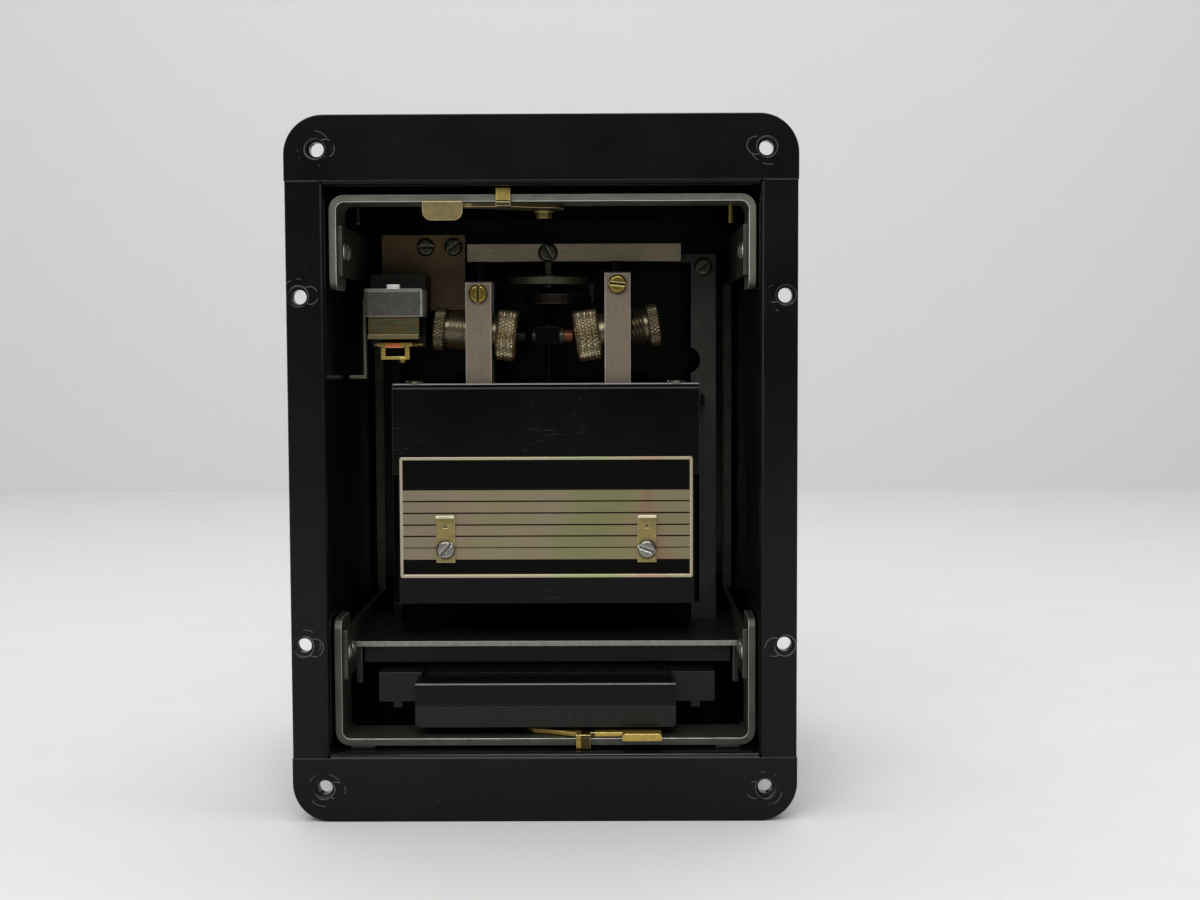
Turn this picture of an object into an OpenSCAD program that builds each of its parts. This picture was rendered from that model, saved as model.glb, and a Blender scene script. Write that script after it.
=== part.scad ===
// Drawout protection relay in a flush-mounted steel case, cover off.
// X is to the right, Y goes back through the panel, Z is up.
// The origin is the centre of the panel holes, on the plane where the flange meets the panel.

/* [Case] */
// Width of the front flange
flange_w = 168.3; // [162:0.1:176]
// Height of the front flange
flange_h = 234; // [228:0.5:246]
// Depth of the hollow flange, from its face to the panel
flange_d = 6.5; // [5.5:0.1:8]
// Radius of the flange's corners
flange_corner_r = 13; // [9:0.5:16]
// Width of the case's opening
opening_w = 143; // [140:0.5:147]
// Height of the case's opening
opening_h = 188; // [185:0.5:192]
// Depth of the case behind the panel
box_d = 146; // [140:1:170]
// Sheet thickness of the case
case_t = 1.6; // [1.2:0.1:2]
// Outer radius of the bend between wall and flange
lip_r = 2.6; // [2.2:0.1:3.2]
// Radius of the panel holes
panel_hole_r = 2.4; // [2:0.1:2.7]

/* [Cradle] */
// Height of the cradle over its brackets
cradle_h = 184.5; // [182:0.5:184.5]
// How far the brackets stand behind the flange's face
cradle_setback = 7; // [6:0.5:9]
// Sheet thickness of the top and bottom brackets
bracket_t = 2.3; // [1.8:0.1:2.6]
// Depth of the brackets, front to back
bracket_d = 20; // [17:0.5:22]
// Length of the top bracket's arms
top_arm_h = 31; // [27:0.5:34]
// Length of the bottom bracket's arms
bottom_arm_h = 43; // [38:0.5:45]
// Sheet thickness of the C-shaped side plates
side_t = 1.7; // [1.4:0.1:2]
// Height of the side plates' arms
side_arm_h = 16.6; // [14:0.2:18]
// Length of the side plates, front to back
side_d = 118; // [112:1:120]
// Thickness of the shelf
shelf_t = 1.8; // [1.4:0.1:2.2]

/* [Measuring unit] */
// Width of the nameplate's bracket
plate_w = 106.4; // [102:0.2:108]
// Height of the nameplate's bracket
plate_h = 76.4; // [72:0.2:80]
// Radius of the laminated stator
stator_r = 29; // [27:0.5:30]
// Height of the stator's stack
stator_h = 24; // [20:1:28]
// Radius of the induction cup
cup_r = 12; // [11:0.2:12.6]
// Radius of the spring adjuster
adjuster_r = 15.7; // [13:0.2:17]

/* [Contacts] */
// Width of the contact blocks
block_w = 9; // [8:0.2:10]
// Radius of the contact barrels
barrel_r = 7; // [6.4:0.1:7.4]
// Radius of the knurled caps
cap_r = 9.2; // [8.6:0.1:9.6]
// Slope of the left barrel
left_slope = 5.6; // [4:0.2:7]
// Slope of the right barrel
right_slope = 8.2; // [6:0.2:9]

/* [Target] */
// Width of the target unit's hood
hood_w = 20.6; // [18:0.2:21]
// Height of the target unit's hood
hood_h = 9.8; // [9:0.2:11]

/* [Plug] */
// Width of the plug's handle
handle_w = 88.4; // [80:0.4:100]
// Height of the plug's handle
handle_h = 15; // [13:0.2:15.2]
// Width of the plug's body
plug_w = 116; // [112:0.5:120]
// Circuits through the plug
circuits = 10; // [8:2:10]

/* [Latches] */
// Thickness of the latch levers
latch_t = 1.4; // [1.2:0.1:1.8]
// Radius of the latch pivots
pivot_r = 1.9; // [1.6:0.1:2.2]

/* [Hidden] */
$fn = 48;

// Shared clearances
over = 1;
run_gap = 0.3;
pin_gap = 0.08;

// Case, small sizes
corner_inset_x = 10.45;
corner_inset_z = 11;
side_inset_x = 4.15;
side_hole_z = 57.9;
boss_r = 3.8;
spotface_r = 3.3;
spotface_d = 2.6;
seam_step = 0.25;
guide_t = 0.8;
guide_w = 8;
guide_inset = 6;
half_ow = opening_w / 2;
half_oh = opening_h / 2;
seam_z = half_oh + case_t;
side_x1 = flange_w / 2 - seam_step;
hole_x = flange_w / 2 - corner_inset_x;
hole_z = flange_h / 2 - corner_inset_z;
side_hole_x = flange_w / 2 - side_inset_x;
back_y = box_d - case_t;

// Cradle, small sizes
cradle_side_gap = 0.8;
bracket_r = 5;
arm_end_r = 4;
side_setback = 2;
side_leg_d = 20;
side_drop = 10;
leg_flange_w = 3.3;
strap_rise = 22.2;
rivet_r = 1.8;
rivet_head_h = 0.9;
rivet_inset = 5;
bracket_pin_reach = 7.1;
bracket_pin_r = 0.8;
bracket_pin_h = 6;
bracket_pin_inset = 2.5;
shelf_rise = 32;
shelf_setback = 19.5;
shelf_d = 62;
shelf_lip_h = 7.1;
cradle_w = opening_w - 2 * cradle_side_gap;
bracket_pin_x = cradle_w / 2 - bracket_pin_reach;
cradle_y = cradle_setback - flange_d;
cradle_z0 = -half_oh + guide_t + run_gap;
cradle_z1 = cradle_z0 + cradle_h;
half_in = cradle_w / 2 - bracket_t - side_t;
side_y0 = cradle_y + side_setback;
side_y1 = side_y0 + side_d;
leg_y0 = side_y1 - side_leg_d;
side_z1 = cradle_z1 - side_drop;
side_z0 = cradle_z0 + strap_rise;
shelf_z = cradle_z0 + shelf_rise;
shelf_y = cradle_y + shelf_setback;

// Terminal blocks and plug, small sizes
finger_pitch = 11.2;
finger_w = 6;
finger_t = 0.8;
cradle_block_w = 128;
cradle_block_d = 40;
cradle_block_h = 6.1;
cradle_block_setback = 3.5;
cradle_block_rail = 3;
cradle_finger_d = 30;
cradle_finger_drop = 1;
handle_setback = 3;
handle_d = 12;
handle_edge_r = 1.6;
handle_drop = 26.6;
handle_seam = 0.5;
handle_seam_share = 0.475;
plug_d = 24;
plug_h = 10.2;
plug_step_d = 14;
plug_step_h = 3;
plug_foot_w = 3;
plug_foot_h = 2;
plug_foot_inset = 5;
blade_d = 26;
blade_t = 1.2;
case_block_w = 124;
case_block_front_gap = 40;
case_block_tall_d = 25;
case_block_tall_h = 31;
case_finger_d = 26;
case_finger_rise = 1.8;
case_finger_tip = 3.6;
stud_r = 2.4;
stud_root_r = 2.6;
stud_out = 19;
stud_pitch = 22;
stud_low_z = 10;
stud_row_gap = 13;
nut_r = 4.4;
nut_h = 3.6;
washer_r = 5;
washer_t = 1;
cradle_block_y = shelf_y + cradle_block_setback;
cradle_block_z = shelf_z - shelf_t - cradle_block_h;
plug_top_z = cradle_block_z - cradle_finger_drop - finger_t - run_gap;
handle_y = cradle_y + handle_setback;
plug_y = handle_y + handle_d;
handle_z0 = shelf_z - handle_drop;
case_block_y = plug_y + case_block_front_gap;
case_finger_z = plug_top_z - plug_h - run_gap;
case_block_z = case_finger_z - case_finger_rise - finger_t;

// Measuring unit, small sizes
unit_rise = 87.9;
unit_plate_t = 5;
unit_plate_w = 104;
unit_setback = 2;
unit_ear_d = 8;
base_t = 3;
base_d = 29;
plate_setback = 21;
plate_t = 1.6;
plate_r = 2.4;
plate_flange_d = 7.4;
wing_h = 45;
wing_d = 13;
wing_r = 2.6;
axis_depth = 34.5;
post_x = 25;
post_r = 3;
post_h = 48.1;
bar_left = 29.3;
bar_right = 48.1;
bar_h = 6.3;
bar_d = 8;
bar_screw_sink = 0.6;
ear_h = 4;
ear_t = 3;
support_w = 9.2;
left_support_w = 3;
support_t = 3;
support_inset = 5.2;
support_depth = 42.5;
support_top = 75.2;
support_notch_r = 5;
support_notch_z = 36;
left_support_inset = 8;
support_hole_share = 0.2466;
support_screw_drop = 4.7;
left_arm_h = 10;
plate_z = shelf_z + unit_rise;
unit_z = plate_z - base_t;
plate_y = cradle_y + plate_setback;
axis_y = plate_y + axis_depth;
bar_z = unit_z + post_h;
bar_y = axis_y - bar_d / 2;
support_y = plate_y + support_depth;
right_support_x1 = half_in - support_inset;
left_support_x0 = -half_in + left_support_inset;
rear_plate_t = 2;
rear_plate_top = 77;
rear_plate_gap = 12;
rear_window_gap = 3;

// Stator, cup and bearings, small sizes
poles = 8;
pole_w = 5.2;
yoke_t = 5;
air_gap = 0.8;
coil_t = 2.6;
coil_len = 7;
coil_over = 3;
coil_gap = 0.2;
cup_t = 1;
cup_over = 3;
shaft_r = 1.5;
shaft_bore_gap = 0.4;
plate_bore_r = 6;
bearing_r = 2.1;
bearing_pin_r = 0.8;
bearing_pin_h = 2;
lower_plate_t = 4;
lower_plate_w = 16;
lower_leg_w = 6;
jewel_r = 3;
jewel_h = 5;
shaft_top = 38.4;
stator_z1 = unit_z - unit_plate_t;
stator_z0 = stator_z1 - stator_h;
cup_z0 = stator_z0 - cup_over;
lower_z = cup_z0 - jewel_h;

// Adjuster and spring, small sizes
adjuster_t = 1.6;
adjuster_z = 39.7;
adjuster_rim_t = 1.2;
adjuster_rim_h = 2.4;
adjuster_hub_r = 4;
adjuster_hub_h = 3.4;
lug_w = 2;
lug_t = 0.8;
lug_h = 6.5;
spring_turns = 3;
spring_r0 = 3.8;
spring_coil_r = 7.4;
spring_tail_power = 8;
spring_t = 0.5;
spring_h = 3.4;
spring_drop = 7;
spring_steps = 96;

// Moving contact, small sizes
collar_r = 3.2;
hub_r = 4.6;
hub_h = 7;
arm_left = 4;
arm_right = 4.4;
arm_h = 5.6;
arm_len = 19;
moving_r = 2.3;
moving_collar_r = 2.9;
moving_collar_len = 1.5;
left_moving_len = 1.2;
right_moving_len = 4.7;

// Fixed contacts, small sizes
contact_z = 21.4;
barrel_axis_depth = 18.5;
block_setback = 8.5;
block_d = 20;
left_block_x = 23.7;
right_block_x = 25;
left_block_h = 37;
right_block_h = 40.2;
block_slit = 1;
block_chamfer = 0.6;
bore_gap = 0.05;
clamp_drop = 4.2;
cap_x = 14.4;
left_cap_len = 7.2;
right_cap_len = 8.7;
cap_face_t = 1.6;
cap_teeth = 48;
cap_tooth = 0.35;
cap_bevel = 0.5;
barrel_len = 25.8;
barrel_bore_r = 5;
barrel_end_t = 2;
barrel_flange_r = 7.7;
barrel_flange_len = 4.2;
barrel_groove = 0.6;
groove_w = 1.2;
button_r = 2;
left_button_out = 3;
right_button_out = 0.3;
diaphragm_r = 6.6;
diaphragm_t = 0.6;
ball_r = 4.4;
barrel_z = unit_z + contact_z;
barrel_y = plate_y + barrel_axis_depth;
contact_block_y = plate_y + block_setback;

// Screws, small sizes
screw_head_r = 3.3;
screw_head_h = 2;
screw_slot_w = 1.1;
screw_slot_d = 1.5;
screw_r = 1.4;
screw_len = 4;
left_clip_turn = 50;
right_clip_turn = -20;
left_clamp_turn = 88;
right_clamp_turn = -6;
bar_screw_turn = -60;
support_screw_turn = 35;
plate_screw_turn = 40;
flange_screw_turn = 20;
dome_share = 0.55;
flange_screw_x = 45.5;
plate_screw_x = 45.2;
plate_screw_pitch = 10.2;
plate_screw_drop = 4.5;

// Nameplate, small sizes
name_w = 101.6;
name_h = 42;
name_t = 0.8;
name_r = 0.8;
name_border = 1;
name_relief = 0.25;
name_drop = 25.4;
head_share = 0.235;
foot_share = 0.125;
clip_x = 34.9;
clip_w = 6.5;
clip_h = 16.6;
clip_t = 0.9;
clip_lip = 2.4;
clip_drop = 20;
clip_screw_rise = 4.6;
clip_nick_rise = 12;
clip_nick_w = 2;
clip_nick_h = 1.5;

// Target unit, small sizes
hood_inset = 13.5;
hood_rise = 37.8;
hood_setback = 6;
hood_d = 14.4;
hood_t = 0.8;
hood_r = 1.4;
hood_tab_w = 4.4;
hood_tab_h = 1.3;
target_base_w = 19.4;
target_base_h = 26;
target_base_rise = 5.3;
insulator_w = 30.7;
insulator_h = 27.5;
insulator_step_w = 16;
insulator_step_h = 14.6;
insulator_t = 3;
insulator_x = -61.4;
insulator_top = 82.3;
yoke_w = 17.8;
yoke_h = 7.9;
yoke_sheet = 1;
yoke_lip = 2;
yoke_lip_h = 1.6;
target_coil_r = 5.6;
coil_cheek_t = 1;
armature_w = 12;
armature_t = 1.2;
armature_pin_r = 0.9;
armature_drop = 2.5;
armature_pin_in = 1.6;
armature_setback = 3.4;
flag_w = 6.6;
flag_h = 1.7;
flag_t = 0.8;
bridge_w = 9.8;
bridge_drop = 3.6;
bridge_t = 1;
bridge_post_w = 1.4;
lever_t = 1;
lever_w = 5;
lever_h = 27.5;
lever_foot = 5;
lever_travel = 4;
lever_setback = 7.3;
bridge_contact_x = 2.4;
bridge_contact_r = 1.6;
bridge_contact_h = 1.2;
hood_x = hood_inset - half_in;
hood_z1 = unit_z + hood_rise;
hood_y = plate_y + hood_setback;
hood_z0 = hood_z1 - hood_h;
yoke_z0 = hood_z0 - yoke_h;
target_base_y = hood_y + hood_d;
insulator_y = support_y - insulator_t;
armature_z = yoke_z0 - armature_drop;

// Latches, small sizes
pivot_setback = 13;
latch_end_r = 7;
latch_w = 7;
tab_x0 = 26;
tab_w = 13.1;
tab_h = 6.2;
tab_out = 5;
tab_r = 3;
low_tab_h = 2.4;
tongue_x = 10.5;
tongue_w = 4.7;
tongue_out = 1.9;
tongue_h = 4.6;
low_tongue_h = 3.4;
pivot_head_r = 3.2;
pivot_head_h = 0.8;
pivot_nut_r = 2.6;
pivot_nut_h = 1.9;
pivot_y = cradle_y + pivot_setback;

// A rectangle with round corners, centred on the origin
module rounded_rect(w, h, r) {
    square([w, h - 2 * r], center = true);
    square([w - 2 * r, h], center = true);
    for (sx = [-1, 1], sz = [-1, 1])
        translate([sx * (w / 2 - r), sz * (h / 2 - r)]) circle(r);
}

// A rectangle with two round corners at the top, standing on y = 0
module arched(w, h, r) {
    translate([-w / 2, 0]) square([w, h - r]);
    translate([r - w / 2, 0]) square([w - 2 * r, h]);
    for (s = [-1, 1]) translate([s * (w / 2 - r), h - r]) circle(r);
}

// Stands a flat drawing up, so that its x is X and its y is Z, and gives it a depth along Y from y0 to y1
module upright(y0, y1) {
    translate([0, y1, 0]) rotate([90, 0, 0]) linear_extrude(height = y1 - y0) children();
}

// Draws along X: the drawing's x becomes Y and its y becomes Z
module along_x(x0, x1) {
    translate([x0, 0, 0]) rotate([90, 0, 90]) linear_extrude(height = x1 - x0) children();
}

// A cylinder along Y from y0 to y1
module rod_y(x, z, r, y0, y1) {
    translate([x, y1, z]) rotate([90, 0, 0]) cylinder(h = y1 - y0, r = r);
}

// A box between two corners
module block(lo, hi) {
    translate(lo) cube(hi - lo);
}

// Points of an arc
function arc(c, r, a0, a1, n = 8) =
    [for (i = [0:n]) c + r * [cos(a0 + (a1 - a0) * i / n), sin(a0 + (a1 - a0) * i / n)]];

// A slotted screw whose head faces -Y, seated on the plane y = 0
module slotted_screw(head_r, head_h, shank_r, shank_len, turn) {
    rotate([90, 0, 0]) difference() {
        union() {
            rotate_extrude() polygon(concat([[0, 0], [head_r, 0]],
                arc([head_r - head_h * dome_share, head_h * (1 - dome_share)], head_h * dome_share, 0, 90),
                [[0, head_h]]));
            translate([0, 0, -shank_len]) cylinder(h = shank_len + head_h / 2, r = shank_r);
        }
        rotate([0, 0, turn]) translate([-head_r - over, -screw_slot_w / 2, head_h - screw_slot_d])
            cube([2 * (head_r + over), screw_slot_w, screw_slot_d + over]);
    }
}

// Section of wall and flange sheet, bent with a round lip at the front edge of the opening.
// Its x runs back from the panel plane and its y runs outwards from the opening's edge.
module lip_section(reach) {
    polygon(concat(
        [[box_d, 0]],
        arc([lip_r - flange_d, lip_r], lip_r, 270, 180),
        [[-flange_d, reach], [case_t - flange_d, reach]],
        arc([lip_r - flange_d, lip_r], lip_r - case_t, 180, 270),
        [[box_d, case_t]]
    ));
}

// The flange's outline, cut to one band of heights
module flange_band(w, h, r, z0, z1) {
    intersection() {
        rounded_rect(w, h, r);
        translate([-flange_w, z0]) square([2 * flange_w, z1 - z0]);
    }
}

module flange_holes(points) {
    for (p = points) {
        rod_y(p[0], p[1], panel_hole_r, -flange_d - over, over);
        rod_y(p[0], p[1], spotface_r, -flange_d - over, spotface_d - flange_d);
    }
}

module flange_bosses(points) {
    for (p = points) rod_y(p[0], p[1], boss_r, case_t - flange_d, 0);
}

module case_end() {
    points = [[-hole_x, hole_z], [hole_x, hole_z]];
    difference() {
        union() {
            along_x(-half_ow, half_ow) translate([0, half_oh]) lip_section(lip_r + case_t);
            upright(-flange_d, case_t - flange_d)
                flange_band(flange_w, flange_h, flange_corner_r, seam_z, flange_h);
            upright(-flange_d, 0) difference() {
                flange_band(flange_w, flange_h, flange_corner_r, seam_z, flange_h);
                rounded_rect(flange_w - 2 * case_t, flange_h - 2 * case_t, flange_corner_r - case_t);
            }
            flange_bosses(points);
        }
        flange_holes(points);
    }
}

module case_side() {
    points = [[side_hole_x, side_hole_z], [side_hole_x, -side_hole_z]];
    difference() {
        union() {
            translate([half_ow, 0, -seam_z]) linear_extrude(height = 2 * seam_z)
                mirror([1, -1]) lip_section(lip_r + case_t);
            block([half_ow + lip_r, -flange_d, -seam_z], [side_x1, case_t - flange_d, seam_z]);
            block([side_x1 - case_t, -flange_d, -seam_z], [side_x1, 0, seam_z]);
            flange_bosses(points);
        }
        flange_holes(points);
    }
}

module case_top_end() {
    color("#1a1b1b") case_end();
}

module case_bottom_end() {
    color("#1a1b1b") mirror([0, 0, 1]) case_end();
}

module case_right_side() {
    color("#191a1a") case_side();
}

module case_left_side() {
    color("#191a1a") mirror([1, 0, 0]) case_side();
}

function cap_len(side) = side < 0 ? left_cap_len : right_cap_len;

function stud_x(i) = (i % 5 - 2) * stud_pitch;
function stud_z(i) = -half_oh + stud_low_z + floor(i / 5) * stud_row_gap;

module case_back() {
    color("#161717") difference() {
        block([-half_ow, back_y, -half_oh], [half_ow, box_d, half_oh]);
        for (i = [0:circuits - 1]) rod_y(stud_x(i), stud_z(i), stud_root_r, back_y - over, box_d + over);
    }
}

module case_guides() {
    color("#6d6e6c") for (s = [-1, 1])
        translate([s * (half_ow - guide_inset - guide_w / 2) - guide_w / 2, cradle_y, -half_oh])
            cube([guide_w, back_y - cradle_y, guide_t]);
}

module case_block() {
    color("#141414") difference() {
        union() {
            block([-case_block_w / 2, case_block_y, -half_oh + guide_t], [case_block_w / 2, back_y, case_block_z]);
            block([-case_block_w / 2, back_y - case_block_tall_d, -half_oh + guide_t],
                [case_block_w / 2, back_y, -half_oh + case_block_tall_h]);
        }
        for (i = [0:circuits - 1])
            rod_y(stud_x(i), stud_z(i), stud_root_r, back_y - case_block_tall_d - over, back_y + over);
    }
}

function finger_x(i) = (i - (circuits - 1) / 2) * finger_pitch;

// Spring fingers lie on the block and rise at the front to meet the plug's blades
module case_fingers() {
    color("#b08d46") for (i = [0:circuits - 1])
        along_x(finger_x(i) - finger_w / 2, finger_x(i) + finger_w / 2) polygon([
            [case_block_y + case_finger_d, case_block_z],
            [case_block_y + case_finger_d, case_block_z + finger_t],
            [case_block_y + case_finger_rise, case_block_z + finger_t],
            [case_block_y - case_finger_rise, case_finger_z],
            [case_block_y - case_finger_rise - case_finger_tip, case_finger_z - finger_t],
            [case_block_y - case_finger_rise - case_finger_tip, case_finger_z - 2 * finger_t],
            [case_block_y - case_finger_rise, case_finger_z - finger_t],
            [case_block_y, case_block_z]
        ]);
}

// Studs with a thicker root through block and nut
module terminal_studs() {
    color("#b9a25c") for (i = [0:circuits - 1]) {
        rod_y(stud_x(i), stud_z(i), stud_root_r, back_y - case_block_tall_d, box_d + washer_t + nut_h);
        rod_y(stud_x(i), stud_z(i), stud_r, box_d, box_d + stud_out);
    }
}

module stud_nuts() {
    color("#b9a25c") for (i = [0:circuits - 1]) translate([stud_x(i), box_d, stud_z(i)]) difference() {
        union() {
            rod_y(0, 0, washer_r, 0, washer_t);
            translate([0, washer_t + nut_h, 0]) rotate([90, 0, 0]) cylinder(h = nut_h, r = nut_r, $fn = 6);
        }
        rod_y(0, 0, stud_root_r, -over, washer_t + nut_h + over);
    }
}

// A strip bent to a U, open downwards, with arms of a given length and round corners at their ends
module u_bracket(arm) {
    intersection() {
        upright(cradle_y, cradle_y + bracket_d) translate([0, cradle_z1 - arm]) difference() {
            arched(cradle_w, arm, bracket_r);
            translate([0, -over]) arched(cradle_w - 2 * bracket_t, arm + over - bracket_t, bracket_r - bracket_t);
        }
        along_x(-cradle_w, cradle_w) translate([cradle_y + bracket_d / 2, cradle_z1 + over])
            mirror([0, 1]) arched(bracket_d, arm + over, arm_end_r);
    }
}

module pivot_hole(z0, z1) {
    translate([0, pivot_y, z0]) cylinder(h = z1 - z0, r = pivot_r);
}

function rivet_spots(z0, z1) = [for (y = [side_y0 + rivet_inset, cradle_y + bracket_d - rivet_inset]) [y, (z0 + z1) / 2]];

module rivet_holes(z0, z1) {
    for (p = rivet_spots(z0, z1), s = [-1, 1])
        translate([s * (half_in - over), p[0], p[1]]) rotate([0, s * 90, 0])
            cylinder(h = side_t + bracket_t + 2 * over, r = rivet_r);
}

module cradle_top_bracket() {
    color("#8d8f8c") difference() {
        u_bracket(top_arm_h);
        pivot_hole(cradle_z1 - bracket_t - over, cradle_z1 + over);
        for (s = [-1, 1]) translate([s * bracket_pin_x, cradle_y + bracket_d - bracket_pin_inset, cradle_z1 - 2 * bracket_t])
            cylinder(h = 3 * bracket_t, r = bracket_pin_r);
        rivet_holes(side_z1 - side_arm_h, side_z1);
    }
}

module cradle_bottom_bracket() {
    color("#8d8f8c") difference() {
        translate([0, 0, cradle_z0 + cradle_z1]) mirror([0, 0, 1]) u_bracket(bottom_arm_h);
        pivot_hole(cradle_z0 - over, cradle_z0 + bracket_t + over);
        rivet_holes(side_z0, side_z0 + side_arm_h);
    }
}

// C-shaped plate with a narrow flange folded out along the rear leg
module cradle_side() {
    difference() {
        union() {
            translate([half_in, 0, 0]) rotate([90, 0, 90]) linear_extrude(height = side_t) difference() {
                translate([side_y0, side_z0]) square([side_d, side_z1 - side_z0]);
                translate([side_y0 - over, side_z0 + side_arm_h])
                    square([side_d - side_leg_d + over, side_z1 - side_z0 - 2 * side_arm_h]);
            }
            block([half_in, leg_y0, side_z0 + side_arm_h],
                [half_in + leg_flange_w, leg_y0 + side_t, side_z1 - side_arm_h]);
        }
        rivet_holes(side_z1 - side_arm_h, side_z1);
        rivet_holes(side_z0, side_z0 + side_arm_h);
    }
}

module cradle_right_side() {
    color("#7c7e7b") cradle_side();
}

module cradle_left_side() {
    color("#7c7e7b") mirror([1, 0, 0]) cradle_side();
}

module cradle_rivets() {
    spots = concat(rivet_spots(side_z1 - side_arm_h, side_z1), rivet_spots(side_z0, side_z0 + side_arm_h));
    color("#9a9b98") for (p = spots, s = [-1, 1]) translate([s * half_in, p[0], p[1]]) rotate([0, s * 90, 0]) {
        cylinder(h = side_t + bracket_t, r = rivet_r);
        translate([0, 0, -rivet_head_h]) cylinder(h = rivet_head_h, r1 = rivet_r, r2 = rivet_r + rivet_head_h);
    }
}

module cradle_shelf() {
    color("#8f908c") {
        block([-half_in, shelf_y, shelf_z - shelf_t], [half_in, shelf_y + shelf_d, shelf_z]);
        for (s = [-1, 1]) translate([s * (half_in - side_t / 2) - side_t / 2, shelf_y + cradle_block_setback,
                shelf_z - shelf_t - cradle_block_h - shelf_lip_h])
            cube([side_t, shelf_d - cradle_block_setback, cradle_block_h + shelf_lip_h + shelf_t / 2]);
    }
}

module cradle_block() {
    color("#151515") difference() {
        block([-cradle_block_w / 2, cradle_block_y, cradle_block_z],
            [cradle_block_w / 2, cradle_block_y + cradle_block_d, shelf_z - shelf_t]);
        for (i = [0:circuits]) translate([finger_x(i - 1 / 2) - finger_t / 2, cradle_block_y + cradle_block_rail, cradle_block_z - over])
            cube([finger_t, cradle_block_d - cradle_block_rail + over, cradle_finger_drop + over]);
    }
}

module cradle_fingers() {
    y0 = cradle_block_y + cradle_block_d - cradle_finger_d;
    y1 = cradle_block_y + cradle_block_d;
    z0 = plug_top_z + run_gap;
    color("#b08d46") for (i = [0:circuits - 1])
        along_x(finger_x(i) - finger_w / 2, finger_x(i) + finger_w / 2) polygon([
            [y0, cradle_block_z], [y0, cradle_block_z - finger_t],
            [y0 + 2 * cradle_finger_drop, cradle_block_z - finger_t],
            [y0 + 4 * cradle_finger_drop, z0],
            [y1, z0], [y1, z0 + finger_t],
            [y0 + 4 * cradle_finger_drop, z0 + finger_t],
            [y0 + 2 * cradle_finger_drop, cradle_block_z]
        ]);
}

// Rear plate with a window behind the stator
module mounting_plate() {
    window = stator_r + rear_window_gap;
    color("#1b1c1c") difference() {
        block([-half_in, leg_y0, shelf_z + rear_plate_gap], [half_in, leg_y0 + rear_plate_t, rear_plate_top]);
        for (s = [-1, 1]) rod_y(s * half_in / 2, plate_z, support_w / 2, leg_y0 - over, leg_y0 + rear_plate_t + over);
        block([-window, leg_y0 - over, lower_z - rear_window_gap], [window, leg_y0 + rear_plate_t + over, unit_z - unit_plate_t]);
    }
}

// Spacers carry the supports off the rear plate
module support_spacers(x, zs) {
    for (z = zs) rod_y(x, z, support_w / 2 - over, support_y + support_t, leg_y0);
}

module right_support() {
    x0 = right_support_x1 - support_w;
    color("#585a57") difference() {
        union() {
            block([x0, support_y, shelf_z], [right_support_x1, support_y + support_t, support_top]);
            block([bar_right - bar_d, support_y, bar_z], [x0 + over, support_y + support_t, support_top]);
            support_spacers(x0 + support_w / 2, [shelf_z + 2 * rear_plate_gap, support_top - rear_plate_gap]);
        }
        rod_y(x0 - support_w / 6, support_notch_z, support_notch_r, support_y - over, support_y + support_t + over);
        rod_y(x0 + support_w / 2, support_top - support_screw_drop, screw_r, support_y - over, support_y + screw_len);
    }
}

module left_support() {
    z1 = insulator_top - ear_t;
    hole_r = support_hole_share * (leg_y0 - support_y);
    color("#3a3b3a") difference() {
        union() {
            block([left_support_x0, support_y, shelf_z], [left_support_x0 + left_support_w, leg_y0, z1]);
            block([left_support_x0, support_y, z1 - left_arm_h],
                [insulator_x + insulator_w, support_y + support_t, z1]);
        }
        for (z = [unit_z - hole_r, shelf_z + hole_r + rear_plate_gap])
            translate([left_support_x0 - over, (support_y + leg_y0) / 2, z]) rotate([0, 90, 0])
                cylinder(h = left_support_w + 2 * over, r = hole_r);
        plate_screw_holes(support_y - over, support_y + screw_len);
    }
}

module plate_screw_holes(y0, y1) {
    for (i = [0, 1]) rod_y(i * plate_screw_pitch - plate_screw_x, insulator_top - plate_screw_drop, screw_r, y0, y1);
}

module unit_plate() {
    color("#8b8d8a") difference() {
        union() {
            block([-unit_plate_w / 2, plate_y + unit_setback, unit_z - unit_plate_t],
                [unit_plate_w / 2, support_y, unit_z]);
            block([support_w / 2 - right_support_x1, support_y - unit_ear_d, unit_z - unit_plate_t],
                [right_support_x1 - support_w / 2, support_y, unit_z]);
        }
        translate([0, axis_y, unit_z - unit_plate_t - over])
            cylinder(h = unit_plate_t + 2 * over, r = plate_bore_r);
        for (s = [-1, 1]) translate([s * post_x, axis_y, unit_z - unit_plate_t / 2])
            cylinder(h = unit_plate_t, r = screw_r);
    }
}

module contact_base() {
    color("#2a1d12") difference() {
        block([-unit_plate_w / 2, plate_y + unit_setback, unit_z],
            [unit_plate_w / 2, plate_y + unit_setback + base_d, plate_z]);
        for (s = [-1, 1]) translate([s * flange_screw_x, plate_y + plate_flange_d / 2 + plate_t / 2, unit_z - over])
            cylinder(h = base_t + 2 * over, r = screw_r);
    }
}

module bar_posts() {
    color("#7f807d") for (s = [-1, 1]) translate([s * post_x, axis_y, unit_z]) {
        cylinder(h = post_h, r = post_r);
        translate([0, 0, -unit_plate_t / 2]) cylinder(h = unit_plate_t, r = screw_r);
    }
}

module top_bar() {
    color("#a3a096") difference() {
        union() {
            block([-bar_left, bar_y, bar_z], [bar_right, bar_y + bar_d, bar_z + bar_h]);
            block([bar_right - bar_d, bar_y + bar_d / 2, bar_z], [bar_right, support_y, bar_z + ear_h]);
        }
        translate([0, axis_y, bar_z - over]) cylinder(h = bar_h + 2 * over, r = bearing_r);
        rod_y(0, bar_z + bar_h / 2, screw_r, bar_y - over, axis_y);
        rod_y(0, bar_z + bar_h / 2, screw_head_r + run_gap, bar_y - over, bar_y + bar_screw_sink);
    }
}

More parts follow.
